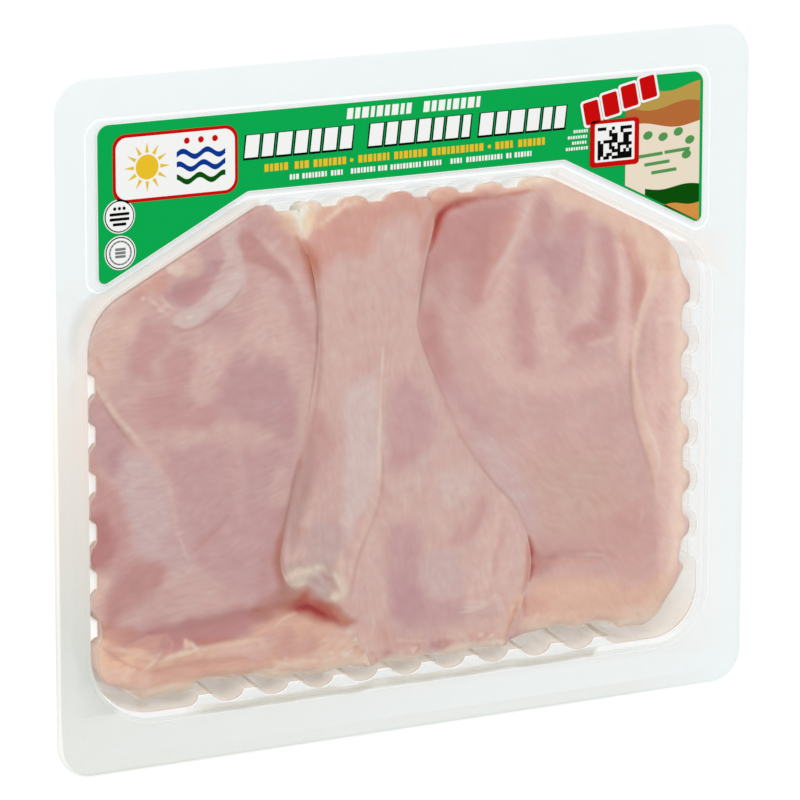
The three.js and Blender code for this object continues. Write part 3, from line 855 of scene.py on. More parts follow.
# Soft-edged fields of colour on each breast, in order: tone, strength, width of the soft edge
# and outline
PATCHES = {
    "left": [
        ("peach", 0.85, 4, [-132+38j, -124+47j, -112+52j, -104+51j, -108+41j, -114+31j, -119+20j, -125+15j,
         -132+22j]),
        ("coral", 0.7, 3, [-119+51j, -106+57j, -98+53j, -101+46j, -111+45j]),
        ("pale", 0.8, 4, [-92+31j, -80+33j, -68+36j, -61+46j, -55+43j, -49+31j, -47+16j, -51+8j, -56+13j,
         -62+22j, -72+25j, -79+15j, -86+7j, -92+15j]),
        ("rose", 0.85, 3, [-109+38j, -103+37j, -98+31j, -105+25j, -107+17j, -112+20j, -112+30j]),
        ("rose", 0.8, 2.5, [-101+22j, -98+27j, -91+26j, -89+20j, -92+14j, -99+14j]),
        ("rose", 0.85, 3, [-109+12j, -97+12j, -89+7j, -80+4j, -80-1j, -95-2j, -108+2j]),
        ("plum", 0.75, 3, [-77+16j, -71+22j, -67+18j, -62+21j, -55+19j, -51+12j, -48+3j, -46-6j, -51-11j,
         -59-9j, -66-4j, -74+1j, -83+3j, -84+0j, -79+8j]),
        ("mauve", 0.85, 4, [-99-10j, -80-9j, -60-12j, -49-14j, -51-34j, -55-50j, -59-67j, -70-67j, -86-58j,
         -92-47j, -96-29j]),
        ("sand", 0.7, 2, [-97-2j, -82-3j, -70-2j, -62-6j, -58-10j, -66-12j, -80-9j, -97-8j]),
        ("flesh", 0.6, 2, [-75-11j, -70-11j, -69-34j, -73-36j]),
        ("sand", 0.6, 2, [-58-22j, -52-22j, -52-34j, -58-35j]),
        ("brick", 0.35, 4, [-58-38j, -50-36j, -54-52j, -58-66j, -64-66j]),
        ("mauve", 0.85, 2, [-132+18j, -127+14j, -120+5j, -115-5j, -118-15j, -124-15j, -132-8j]),
        ("plum", 0.8, 2, [-124-7j, -117-8j, -116-14j, -121-15j]),
        ("grey", 0.95, 3, [-116-10j, -108-10j, -101-20j, -97-35j, -93-46j, -91-55j, -102-52j, -112-46j,
         -115-34j, -119-22j]),
        ("plum", 0.3, 2, [-102-40j, -96-40j, -92-50j, -96-53j, -103-48j]),
        ("rose", 0.85, 3, [-131-24j, -122-19j, -117-28j, -114-40j, -116-49j, -124-51j, -131-51j]),
        ("wine", 0.85, 2.5, [-131-33j, -123-31j, -120-38j, -121-47j, -126-50j, -131-49j]),
        ("peach", 0.9, 2, [-131-53j, -125-52j, -121-57j, -123-67j, -131-71j]),
        ("brick", 0.9, 3, [-116-50j, -108-48j, -101-52j, -104-59j, -110-64j, -117-68j, -124-71j, -124-61j]),
        ("sand", 0.5, 4, [-96-54j, -84-55j, -78-64j, -92-68j, -98-62j]),
        ("orange", 1.0, 1.2, [-129-75j, -124-79j, -118-80j, -108-82j, -98-83.5j, -88-83j, -71-82j, -64-77j,
         -53-74j, -46-75j, -38-79j, -30-84j, -22-91j, -13-97j, -13-102j, -129-102j]),
        ("gold", 0.95, 2, [-130-72j, -124-75j, -114-79.5j, -110-84j, -109-90j, -112-97j, -129-97j]),
        ("coral", 0.7, 1.5, [-124-77j, -118-78j, -115-82j, -119-83j, -123-81j]),
        ("ember", 0.5, 1.8, [-129-71j, -122-70j, -113-73j, -112-77j, -119-78j, -127-75j]),
        ("blush", 0.6, 1.5, [-128-86j, -118-88j, -108-91j, -110-97j, -127-97j]),
        ("coral", 0.55, 1.5, [-128-70j, -123-71j, -117-75j, -112-79j, -116-80j, -124-76j]),
        ("orange", 0.6, 1.2, [-116-82j, -110-82.5j, -107-86j, -109-92j, -115-93j, -113-87j]),
        ("wine", 0.8, 2.6, [-119-78.5j, -110-74j, -101-71.5j, -96-73j, -88-72j, -76-71j, -66-70j, -60-70j,
         -61-75j, -67-78j, -71-81.5j, -80-82j, -88-82.5j, -96-83.5j, -102-82j, -103-79j, -110-77j]),
        ("coral", 0.85, 0.8, [-117-79j, -108-76.5j, -101-75.5j, -102-79j, -106-82.5j, -112-81j]),
        ("rust", 0.5, 0.8, [-90-80j, -82-80.5j, -72-81.5j, -84-83j]),
        ("cream", 0.8, 0.5, [-92.2-79.6j, -90-82.6j, -93.4-83.2j]),
        ("apricot", 0.75, 1.0, [-108-88.5j, -103-85.5j, -95-84.8j, -84-84j, -72-83.2j, -66-85j, -72-87j,
         -84-86.5j, -96-87j, -101-89j]),
        ("coral", 0.5, 1.0, [-108-90j, -96-88.6j, -82-88j, -68-88.5j, -60-90j, -64-92.5j, -84-91.5j,
         -104-92j]),
        ("coral", 0.5, 2, [-62-82j, -50-84j, -42-88j, -44-93j, -56-92j]),
        ("peach", 0.5, 2, [-36-84j, -26-84j, -21-92j, -30-91j]),
        ("cream", 0.7, 1.5, [-60-95j, -46-91j, -34-91j, -22-94j, -22-98j, -60-98j]),
        ("pale", 0.4, 2, [-68-84j, -60-81j, -56-85j, -62-91j, -70-89j]),
        ("rose", 0.35, 1.2, [-52-80j, -49-84j, -50-91j, -54-91j, -55-84j]),
        ("rose", 0.35, 1.2, [-43-83j, -40-86j, -41-93j, -45-92j, -46-86j]),
        ("cream", 0.5, 1.5, [-38-88j, -30-87j, -24-92j, -28-96j, -38-94j]),
        ("butter", 0.7, 1.0, [-122-95.5j, -108-96.2j, -90-95j, -68-95.6j, -58-95.4j, -46-98j, -24-96j,
         -13-97j, -13-103j, -122-103j]),
        ("pearl", 0.6, 0.8, [-76.5+74j, -70+74j, -69.6+60j, -68.2+55j, -69.4+50j, -73+45j, -78+41j,
         -84+36.8j, -89+34.6j, -94+35j, -98+37.5j, -95+41j, -92+42j, -88+43.6j, -83+47.2j, -78.4+52j,
         -76+57j, -76.4+64j]),
        ("pearl", 0.7, 0.8, [-70+52j, -69.4+50j, -73+45j, -78+41j, -84+36.8j, -89+34.6j, -94+35j,
         -97+37.5j, -94+40.4j, -88+43j, -83+46.6j, -78+51j, -74+54j]),
        ("flesh", 0.75, 0.8, [-98+37j, -104+40.5j, -108+45j, -105+49j, -101+46j, -96+42j]),
        ("plum", 0.25, 1.5, [-86+66j, -82+71j, -77.5+70j, -76.6+60j, -80+57j, -85+60j]),
        ("plum", 0.35, 1.3, [-99+53j, -92+56j, -84+53j, -80+56j, -84+60j, -93+60j]),
        ("plum", 0.8, 1.0, [-101+46.5j, -98+43j, -93+41.4j, -88+43.2j, -83+47j, -78.6+52j, -76.6+58j,
         -80+57j, -84+52.5j, -90+50.5j, -96+49.5j]),
        ("plum", 0.5, 2, [-78+40j, -70+35j, -71.6+28.6j, -80+31.6j, -85+36j]),
        ("pearl", 0.7, 0.8, [-74+50j, -68.6+52j, -68+48j, -72+43j, -77+39.6j, -80+41j, -76+45j]),
        ("plum", 0.6, 1, [-83+56j, -78.4+57j, -78+52j, -81+48.6j, -84+50j]),
        ("wine", 0.45, 1.3, [-96+45j, -92+43j, -88+45j, -83+50j, -85+52j, -91+49j]),
        ("peach", 0.8, 1.5, [-93+62j, -86+60j, -85+54j, -89+52.5j, -94+54j]),
        ("fat", 0.85, 0.9, [-97.5+57j, -94+57.6j, -92+55j, -95+52.6j, -98+54j]),
        ("brick", 0.9, 1.6, [-71+64j, -66+67j, -60+61.5j, -54+55.5j, -50+49j, -52+46j, -58+50j, -64+54j,
         -69+58j]),
        ("rose", 0.5, 2, [-54+48j, -48+46j, -43+36j, -43+26j, -49+28j, -52+38j]),
        ("rose", 0.5, 1.6, [-66+73j, -60+70j, -56+63j, -61+64j, -67+68j]),
        ("rose", 0.6, 2.5, [-118+42j, -113+49j, -108+48j, -110+42j]),
        ("butter", 0.9, 1.8, [-57+78j, -53+71j, -48+63j, -45+62j, -42+78j]),
        ("tendon", 0.9, 0.9, [-51+78j, -49+73j, -46.6+67.4j, -45+66j, -42+78j]),
    ],
    "middle": [
        ("sand", 0.8, 5, [-22+56j, -10+62j, -2+64j, 0+50j, -2+32j, -10+26j, -20+28j]),
        ("coral", 0.9, 3, [-43+66j, -40+78j, -20+78j, 4+78j, 7+70j, 3+64j, -5+66j, -13+63j, -20+54j,
         -30+55j, -38+50j, -43+56j]),
        ("apricot", 0.8, 1.2, [-43+78j, -41+66j, -36+65j, -28+70j, -19+73j, -19+78j]),
        ("pearl", 0.9, 3, [-29+2j, -22+8j, -16+6j, -13.5-8j, -14.5-28j, -20-38j, -27-50j, -31-40j,
         -29-20j]),
        ("flesh", 0.7, 2, [-36-8j, -30-6j, -29-30j, -31-50j, -35-54j, -42-44j, -40-28j]),
        ("brick", 0.6, 2.5, [-43-3j, -37-5j, -34-13j, -37-22j, -42-28j, -46-36j, -50-42j, -49-24j]),
        ("mauve", 0.85, 3, [-10+0j, -4+7j, 4+1j, 8-10j, 5-22j, -4-26j, -11-26j]),
        ("rose", 0.5, 2, [-9-22j, 4-18j, 5-21j, -4-25j]),
        ("grey", 0.5, 3, [3-18j, 8-22j, 4-32j, -2-30j]),
        ("sand", 0.8, 3, [-22-40j, -8-38j, 8-34j, 22-30j, 27-36j, 18-44j, 4-47j, -14-48j, -22-46j]),
        ("pearl", 0.6, 3, [10-31j, 22-31j, 24-40j, 12-41j]),
        ("mauve", 0.9, 3, [-11-50j, 2-50j, 3-64j, 6-76j, 18-79j, 21-86j, 6-88j, -8-86j, -11-70j]),
        ("plum", 0.8, 3, [-9-70j, -1-70j, 4-80j, -1-84j, -9-80j]),
        ("grey", 0.8, 2, [3-61j, 14-59j, 20-66j, 18-77j, 9-77j, 3-71j]),
        ("rose", 0.7, 2, [15-56j, 22-50j, 28-42j, 31-46j, 25-54j, 19-59j]),
        ("pale", 0.9, 3, [26-59j, 32-46j, 37-42j, 44-50j, 47-62j, 47-74j, 43-86j, 30-78j, 22-79j, 22-66j]),
        ("peach", 0.7, 1.2, [30-60j, 33-50j, 35-48j, 34-60j, 32-72j, 29-74j]),
        ("brick", 0.35, 1.2, [32-70j, 34.5-60j, 37-51j, 38.5-52j, 36-62j, 34-71j]),
        ("coral", 0.5, 2.5, [-20-84j, -6-89j, 4-93j, 2-96j, -12-94j, -22-90j]),
        ("peach", 0.8, 1.8, [14-91j, 24-90j, 36-88j, 39-93j, 30-96j, 14-98j]),
        ("wine", 0.6, 1.0, [8-93.6j, 12-93j, 17-95j, 14-97j, 9-96.4j]),
        ("coral", 0.5, 1.6, [24-93j, 32-92.6j, 35-95j, 25-96j]),
        ("apricot", 0.8, 2, [40-86j, 44-80j, 47-84j, 47-99j, 36-99j, 39-92j]),
        ("butter", 0.8, 1.2, [-16-98.6j, -4-97.4j, 8-98.4j, 22-97.2j, 36-96.6j, 36-102j, -16-102j]),
        ("orange", 0.7, 1.5, [40-90j, 46-86j, 48-97j, 41-98j]),
        ("umber", 0.4, 1.6, [-51-44j, -45-44j, -43.5-50j, -49-51.5j]),
        ("lilac", 0.6, 2.2, [-43-43j, -32-44j, -29-52j, -29-60j, -38-60j, -44-54j]),
        ("knob", 0.85, 1.6, [-53-57j, -46-56j, -38-57j, -31-60j, -28-66j, -28-71j, -33-74j, -38-72j,
         -42-70j, -46-68.6j, -52-67j]),
        ("bone", 0.7, 1.2, [-52.4-60.4j, -49-58.8j, -45-59.4j, -42-58.4j, -38.4-59.4j, -40-61.6j,
         -42.6-62.4j, -43.6-65.6j, -47-66.8j, -51.4-66j]),
        ("lilac", 0.6, 1.4, [-42-62j, -38.6-62j, -35.4-65.6j, -36-69.6j, -40-69.4j, -42.6-66.4j]),
        ("umber", 0.55, 0.8, [-38.4-61.6j, -34.6-64.4j, -31.4-67.6j, -32.6-68.4j, -36-65.6j]),
        ("peach", 0.6, 2.5, [-27-84j, -20-86j, -14-91j, -16-98j, -24-92j]),
        ("butter", 0.9, 1.8, [-50+78j, -47+62j, -44+62j, -39+71j, -36+78j]),
        ("tendon", 0.9, 0.9, [-50+78j, -47.4+66j, -45.6+66j, -42.6+72j, -41+78j]),
    ],
    "right": [
        ("brick", 0.95, 4, [6+56j, 13+66j, 26+68j, 42+67j, 43+59j, 38+50j, 33+40j, 28+33j, 20+30j, 12+36j,
         5+44j]),
        ("flesh", 0.7, 4, [11+45j, 20+46j, 22+32j, 18+14j, 24+4j, 16+6j, 13+22j]),
        ("brick", 0.9, 3, [3+32j, 9+31j, 11+18j, 15+8j, 13+2j, 8+4j, 3+18j, 1+26j]),
        ("pale", 0.85, 3, [46+72j, 51+67j, 46+56j, 42+46j, 38+37j, 38+20j, 41+6j, 52+4j, 60+2j, 80+4j,
         84-3j, 60-6j, 36-1j, 29+8j, 23+18j, 28+30j, 34+40j, 38+50j, 42+60j]),
        ("coral", 0.5, 2.5, [34+60j, 42+64j, 44+58j, 38+48j, 30+36j, 27+40j, 31+50j]),
        ("rose", 0.8, 2.5, [42+38j, 46+36j, 48+24j, 50+12j, 48+4j, 43+8j, 41+22j]),
        ("mauve", 0.95, 2.5, [44+50j, 50+55j, 58+53j, 62+58j, 69+58j, 71+50j, 69+40j, 63+28j, 58+33j,
         54+42j, 48+43j, 43+38j]),
        ("plum", 0.6, 2, [47+46j, 52+50j, 60+49j, 62+40j, 56+38j, 52+43j]),
        ("pale", 0.85, 2, [50+40j, 54+37j, 58+28j, 60+18j, 66+11j, 60+4j, 52+6j, 51+18j, 49+30j]),
        ("flesh", 0.8, 2, [61+28j, 69+30j, 72+20j, 66+15j, 60+18j]),
        ("pale", 0.9, 1.5, [71+50j, 75+50j, 76+36j, 75+23j, 68+18.5j, 65+21j, 70+30j]),
        ("rose", 0.8, 1.8, [77+54j, 84+52j, 85.5+38j, 84+22j, 80+13j, 70+10j, 62+13j, 66+18j, 74+19j,
         78+26j, 79+40j]),
        ("brick", 0.35, 1.8, [79+32j, 82.5+30j, 82+20j, 76+15.5j, 68+14j, 72+18j, 78+22j]),
        ("blush", 0.85, 1.5, [85+49j, 89+45j, 90+30j, 91+10j, 89+1j, 85+7j, 86+24j, 85+40j]),
        ("blush", 0.9, 3, [97+44j, 110+46j, 116+30j, 116-90j, 104-80j, 106-60j, 103-45j, 99-34j, 96-20j,
         97-5j, 99+20j]),
        ("cream", 0.9, 3, [58+74j, 75+67j, 90+60j, 104+51j, 110+44j, 105+34j, 100+30j, 98+38j, 94+48j,
         87+54j, 78+57j, 66+62j, 58+66j]),
        ("coral", 0.9, 1.5, [85+53j, 90+52j, 95+43j, 97.5+32j, 95+23j, 92+19j, 90.5+30j, 89+42j]),
        ("brick", 0.45, 1.3, [91+36j, 96+33j, 94+24j, 92+22j]),
        ("cream", 0.8, 3, [82+60j, 92+55j, 99+47j, 98+38j, 94+41j, 91+48j, 84+54j]),
        ("apricot", 0.7, 2, [101+42j, 107+45j, 111+38j, 109+31j, 104+36j]),
        ("brick", 0.6, 2.4, [49+60j, 52+66.5j, 56+66j, 57.5+62j, 56+56j, 51+54j]),
        ("rose", 0.6, 1.5, [61+56j, 66+60.5j, 71+59j, 70+52j, 64+51j]),
        ("mauve", 0.8, 3, [8+2j, 17+4j, 28-7j, 33-17j, 27-19j, 18-9j]),
        ("beige", 0.8, 6, [50-28j, 80-32j, 85-48j, 76-62j, 54-62j, 50-44j]),
        ("grey", 0.75, 2.5, [24-17j, 36-22j, 44-34j, 49-46j, 51-57j, 46-52j, 39-41j, 31-31j]),
        ("coral", 0.4, 5, [78-50j, 92-49j, 99-54j, 99-74j, 92-80j, 86-75j, 78-66j]),
        ("rose", 0.4, 4, [82-54j, 94-54j, 98-62j, 90-68j, 80-64j]),
        ("rose", 0.5, 3, [52-60j, 70-61j, 80-66j, 70-70j, 53-69j]),
        ("shell", 0.95, 3, [48-80j, 53-76j, 66-75.5j, 80-78j, 94-83j, 106-79j, 110-84j, 104-94j, 90-97j,
         70-95j, 56-93j, 46-90j]),
        ("cream", 0.6, 1.6, [46-90j, 53-90j, 53-96j, 46-97j]),
        ("coral", 0.5, 1.5, [48-80j, 54-83j, 56-88j, 50-89j, 46-85j]),
        ("orange", 0.4, 1.5, [66-88j, 96-90j, 98-93j, 70-91j]),
        ("brick", 0.8, 1.5, [51-66j, 55-66j, 60-69j, 56-72j, 51-74j]),
        ("orange", 0.95, 1.0, [5+78j, 52+78j, 53+71j, 40+70.4j, 28+71j, 14+69.4j, 8+67j, 4+70j]),
        ("butter", 0.8, 1.2, [26+78j, 58+78j, 57+72.4j, 44+72.6j, 34+73j, 26+74j]),
        ("rust", 0.45, 1.2, [8+69j, 14+71j, 28+71.6j, 28+70.4j, 14+69j]),
    ],
}

# Lines of colour on each breast, in order: tone, strength, half width and line; strokes in the tone line are
# painted shade in seams and folds
STROKES = {
    "left": [
        # Painted shadow beside the lower seam, on this breast's side of it
        ("rust", 0.45, 1.0, [-53-40j, -55.6-48j, -56.2-56j, -54.4-63.6j]),
        ("rose", 0.35, 2.5, [-98+38j, -88+44j, -78+51j, -70+55j]),
        ("line", 0.35, 0.5, [-69+47j, -74+42j, -80+38j, -86+34.6j, -92+33.4j, -99+36j]),
        # Painted highlights: glints of the film's creases by the hook
        ("fat", 0.3, 0.4, [-101+47j, -99+43.5j, -96+41j]),
        ("fat", 0.28, 0.4, [-104+46j, -102+42j, -98+39j]),
        ("fat", 0.3, 0.6, [-106+46j, -104+44j]),
        ("coral", 0.5, 1.0, [-104+50j, -96+50.5j]),
        ("mauve", 0.35, 2, [-100+36j, -90+30j, -80+32j, -74+38j]),
        ("coral", 0.5, 2, [-60+73j, -54+65j, -49+58j, -44+50j, -42+44j]),
        ("pale", 0.7, 1.4, [-64+65j, -57+58.5j, -51+52j, -46+44j, -44+34j]),
        ("apricot", 0.9, 2.0, [-57+74j, -53+70j, -50+66j, -47.6+63j, -46+60j]),
        ("ember", 0.95, 2.2, [-48+63j, -44.6+57j, -42.4+52j, -41+47j, -40.4+38j]),
        # The line strokes below: painted shade along the seam with the middle breast
        ("line", 0.6, 0.9, [-40+42j, -39.5+30j, -40+22j]),
        ("line", 0.5, 0.7, [-40+30j, -40+20j, -41.5+8j, -43-4j]),
        ("sand", 0.7, 2.2, [-45+22j, -44.5+6j, -46-8j, -49-16j]),
        # Painted shadow along the lower seam: the line stroke, with ember and clay beside it
        ("line", 0.75, 1.1, [-47-18j, -50.5-32j, -54-46j, -55.4-55j, -53.6-62j, -49-67j]),
        ("ember", 0.7, 1.1, [-55.2-46j, -56.2-54j, -55.4-60j, -53-66j]),
        ("clay", 0.8, 2.2, [-54.4-44j, -56-54j, -55-62j, -53.5-69j]),
        # The upper left edge: pearl, made paler as painted light where the rolled edge lies in shade
        ("pearl", 0.75, 3.4, [-130+26j, -128+38j, -121+46j, -111+52j, -100+58.6j]),
        ("cream", 0.8, 2.2, [-128.6-68j, -128-76j, -127.4-84j, -126-92j]),
        ("butter", 0.5, 0.8, [-131+22.5j, -127+17j, -123+11j, -119+5j, -114-1j, -108-8j]),
        ("peach", 0.65, 0.8, [-131+22.5j, -127+17j, -123+11j, -119+5j, -114-1j]),
        ("pale", 0.8, 2.0, [-115-1j, -110-6j, -105-12j, -102-18j]),
        ("pale", 0.6, 0.8, [-102-16j, -99-24j, -97.5-31j, -96.5-38j, -94-45j]),
        ("fat", 0.25, 0.6, [-95-42j, -93-48j, -91-51j]),
        ("line", 0.4, 0.6, [-129+17.5j, -125+12j, -121+5j, -117-1j, -112-7j]),
        ("coral", 0.8, 1.6, [-130-8j, -128-14j, -126-19j]),
        # Painted highlight: a glint of a film crease
        ("fat", 0.14, 0.35, [-90-52j, -84-58j, -77-63j, -68-67j]),
        ("brick", 0.6, 0.9, [-90-47j, -84-43.5j, -79-40j, -75-36j]),
        ("brick", 0.3, 3, [-86-46j, -80-42j]),
        ("red", 0.9, 0.8, [-130.4+28.6j, -129+27.2j]),
        ("coral", 0.8, 1.0, [-126.5+28j, -125+24j, -123+22j]),
        ("cream", 0.5, 0.6, [-128-76j, -124-79.4j, -118-80.6j, -108-82.4j]),
        ("coral", 0.6, 0.6, [-127-76.5j, -122-81.5j, -116-86j, -109-89j]),
        ("coral", 0.5, 0.6, [-110-89.4j, -106-86j, -100-85j]),
        ("brick", 0.7, 0.6, [-101-76.5j, -102.6-80j, -105-83.4j]),
        ("cream", 0.8, 0.9, [-98-84.2j, -90-84j, -80-83.6j, -70-83.4j, -60-83.4j]),
        ("butter", 0.6, 0.8, [-110-89j, -106-86.4j, -100-85.2j, -90-84.6j]),
        ("cream", 0.7, 0.8, [-124-76.5j, -117-80.6j, -110-83.6j, -104-85.6j]),
        ("fat", 0.8, 0.6, [-90.6-80.4j, -90-82.4j, -88-84j]),
        ("coral", 0.7, 0.9, [-100.6-78j, -98.4-81j, -104-86j, -107-89.4j]),
        ("blush", 0.6, 2.0, [-84-86.5j, -70-86j, -58-86.4j]),
        # Painted highlight: a thin pale line on the flap
        ("butter", 0.35, 0.5, [-58-80.5j, -55-77.5j, -51-75.8j, -47-75.8j]),
        ("butter", 0.5, 0.6, [-58-92j, -54-94j, -46-96j]),
        ("coral", 0.4, 0.5, [-62-94.6j, -56-95j, -48-98j]),
        ("brick", 0.6, 2.2, [-64-69j, -58-69.6j, -54-68j]),
        ("fat", 0.8, 1.2, [-25-86j, -21-87j]),
        ("fat", 0.6, 0.6, [-25-90j, -21-91j, -19-94j]),
    ],
    "middle": [
        ("fat", 0.6, 0.7, [-38+66j, -33+69j, -27+72j, -22+73j]),
        ("ember", 0.95, 2.4, [-45.6+62j, -42.5+56j, -40.8+51j, -39.4+45j]),
        # The line strokes below: painted shade along the seam with the left breast
        ("line", 0.5, 1.0, [-39+46j, -39+36j, -38.5+26j]),
        ("line", 0.4, 0.8, [-38.5+28j, -38.5+18j, -40+4j, -42-6j]),
        ("yellow", 0.6, 1.6, [-42+74j, -42+68j, -45+62j]),
        ("fat", 0.5, 0.5, [-13.4+20j, -13.8+8j, -14.4-2j, -14.6-14j]),
        ("butter", 0.4, 0.7, [-14.2-4j, -14.6-18j, -15-30j]),
        ("peach", 0.6, 1.5, [-14.8-24j, -15.6-34j, -18-42j, -21.5-50j, -25-58j, -27.4-66j]),
        ("line", 0.3, 0.6, [-13-20j, -13.6-34j, -16-43j, -20-51j, -24-60j, -26-70j]),
        ("coral", 0.5, 2, [-48-44j, -46-48j]),
        ("line", 0.6, 0.9, [-46-16j, -50-32j, -53.4-46j, -54.8-54j, -53-61j]),
        ("umber", 0.75, 3.0, [-41.6-8j, -42.6-16j, -44.6-26j, -47.4-36j, -49.4-46j, -50.6-54j]),
        ("butter", 0.5, 1.6, [-53-62.4j, -49-60.8j, -45.6-60.8j, -42.4-60j]),
        ("fat", 0.35, 2.4, [-49-61j, -43-60j, -36-60.4j]),
        ("cream", 0.6, 1.8, [-30-54j, -30.5-60j, -29.5-66j]),
        ("butter", 0.7, 2.0, [-33.6-62j, -31-65.6j, -29.6-68.4j, -30.4-71j, -33.8-72j]),
        ("butter", 0.7, 2.0, [-35-71.6j, -31-70.6j]),
        ("butter", 0.35, 0.6, [-50-64.8j, -47-65.4j, -44-64.6j]),
        # Painted highlights: glints of the film's wrinkles
        ("fat", 0.4, 0.4, [18-84j, 26-83.4j, 33-81.6j, 37-80j]),
        ("fat", 0.4, 0.4, [20-82.4j, 28-82j, 36-79j]),
        ("fat", 0.35, 0.4, [22-80.4j, 30-80.8j, 35-78j]),
        ("butter", 0.25, 0.5, [-9-91j, 0-92.4j, 6-93j]),
        ("fat", 0.3, 0.4, [-18-80j, -17-84j, -18-88j]),
        ("line", 0.2, 0.6, [4+16j, 8+5j, 13-6j, 19-18j, 26-28j, 33-37j, 40-44j, 44-51j, 46.6-58j]),
        ("ember", 0.6, 1.0, [46.6-60j, 47.6-66j, 47-74j, 45-80j]),
        ("rust", 0.4, 0.8, [44-82j, 41-90j, 39-96j]),
        ("rose", 0.5, 1.2, [1.5+36j, 2+44j, 4+54j, 6+60j]),
        ("ember", 0.5, 2.2, [2+50j, 4.4+58j, 7+64j, 9+68j]),
    ],
    "right": [
        # The crevice at the top of the seam: the flesh's red, deepened with painted shade
        ("ember", 0.6, 2.6, [5+57j, 8+63j, 10+68j, 14+69j]),
        ("ember", 0.7, 2.2, [5.6+52j, 7.4+57j, 9.4+61.6j, 11.4+65j, 14.6+67.4j]),
        ("red", 0.9, 1.3, [5.6+52j, 7.4+57j, 9.4+61.6j, 11.4+65j, 14.6+67.4j, 21+69j, 27+69.6j]),
        ("rust", 0.7, 0.7, [18+68.6j, 26+69.4j, 34+69.6j, 42+70j, 50+70.6j]),
        ("deep", 0.8, 1.1, [8.8+60.6j, 10.8+64.6j, 13.4+67j]),
        # The line strokes below: painted shade along the seam with the middle breast
        ("line", 0.8, 1.1, [1.6+30j, 2.4+38j, 4+46j, 5+52j, 7+58j]),
        ("line", 0.2, 0.7, [4+16j, 8+5j, 13-6j, 19-18j, 26-28j, 33-37j, 40-44j, 44-51j, 46.6-58j]),
        ("grey", 0.5, 0.9, [28-28j, 35-36.4j, 42-43.6j, 46-50.6j]),
        # The crevice at the lower seam: the flesh's red, deepened with painted shade
        ("ember", 0.6, 2.2, [49.6-62j, 50.6-68j, 49.6-75j]),
        ("red", 0.9, 1.1, [47.6-58j, 48.8-65j, 49.2-70j, 48.2-76j]),
        ("brick", 0.8, 2.2, [50-66j, 52-70j]),
        ("rust", 0.5, 0.8, [46-80j, 46-86j, 47-90j]),
        ("pale", 0.8, 1.8, [48+67.9j, 44.2+59.3j, 39.6+50.1j, 32.7+41.2j, 28.1+33.4j]),
        ("pearl", 0.5, 1.0, [47+66j, 43.6+58.4j, 39+49.6j, 33+42j]),
        ("pale", 0.6, 1.6, [46.6+41.2j, 49.8+29.9j, 53.0+19.9j, 54.6+10.0j]),
        ("pale", 0.8, 1.4, [86.5+47.0j, 88.5+32.9j, 86.8+20.6j, 82.1+12.7j, 71.1+11.0j]),
        ("butter", 0.5, 0.9, [101+38j, 98.4+30j, 95+22j, 92.6+12j, 91.8+3j]),
        ("butter", 0.45, 0.9, [91.8+4j, 92.6-4j, 95.1-12.6j, 98-22j, 102.1-31.8j, 104-42j]),
        ("cream", 0.6, 1.3, [97.4+42j, 98.6+34j, 98+26j, 94+16j, 92+4j, 92-4j]),
        ("cream", 0.6, 1.6, [92.4-2j, 93.4-12j, 96-22j, 99.4-33j, 102-44j, 103.4-52j]),
        ("line", 0.3, 0.8, [90.8+6j, 90.6-6j, 92-16j, 95-27j, 99-38j, 101.6-48j]),
        ("rose", 0.35, 1.4, [100+20j, 100.6+6j, 102-6j]),
        ("rose", 0.3, 1.8, [104-14j, 104-26j]),
        ("pale", 0.5, 0.7, [95-60j, 97-54j]),
        ("pale", 0.35, 0.5, [97-66j, 99-58j]),
        ("coral", 0.8, 0.6, [55-70j, 64-70j, 72-71j, 78-72.4j]),
        # The fold: painted shade along its top, then a painted highlight below it
        ("brick", 0.5, 0.8, [54-66.6j, 64-66.6j, 74-67.6j, 82-69.6j, 88-73j]),
        ("peach", 0.3, 0.9, [68-68.6j, 76-69j, 83-70.6j]),
        # The right and lower edges: the fat's cream, made paler with painted light where the rolled edge lies
        # in shade; the rim stroke is painted light
        ("butter", 0.8, 1.6, [48-93.5j, 60-95j, 72-97j, 84-98.6j, 96-98.4j, 106-95j, 113-88j, 116-78j]),
        ("cream", 0.5, 3.2, [94-93j, 103-90j, 109-83j, 112-74j]),
        ("blush", 0.7, 4, [106.6-34j, 107-50j, 107-66j, 104-78j]),
        ("rim", 0.75, 3.4, [109+46j, 111.4+32j, 112.4+16j, 112.8+4j, 112.8-10j, 113-26j, 113.2-44j,
         113-58j, 111.6-72j, 108-82j]),
        ("cream", 0.8, 3.0, [47-92.6j, 60-93j, 72-94j, 86-94.6j, 97-92.4j, 105-86j]),
        ("butter", 0.5, 1.6, [62-95.5j, 74-96.6j, 88-97j, 99-95j, 107-89j]),
        ("coral", 0.3, 0.5, [60-90.6j, 74-92.6j, 88-95.4j, 98-94j]),
        ("rose", 0.5, 0.5, [60+57j, 66+60.4j, 72+60j]),
    ],
}

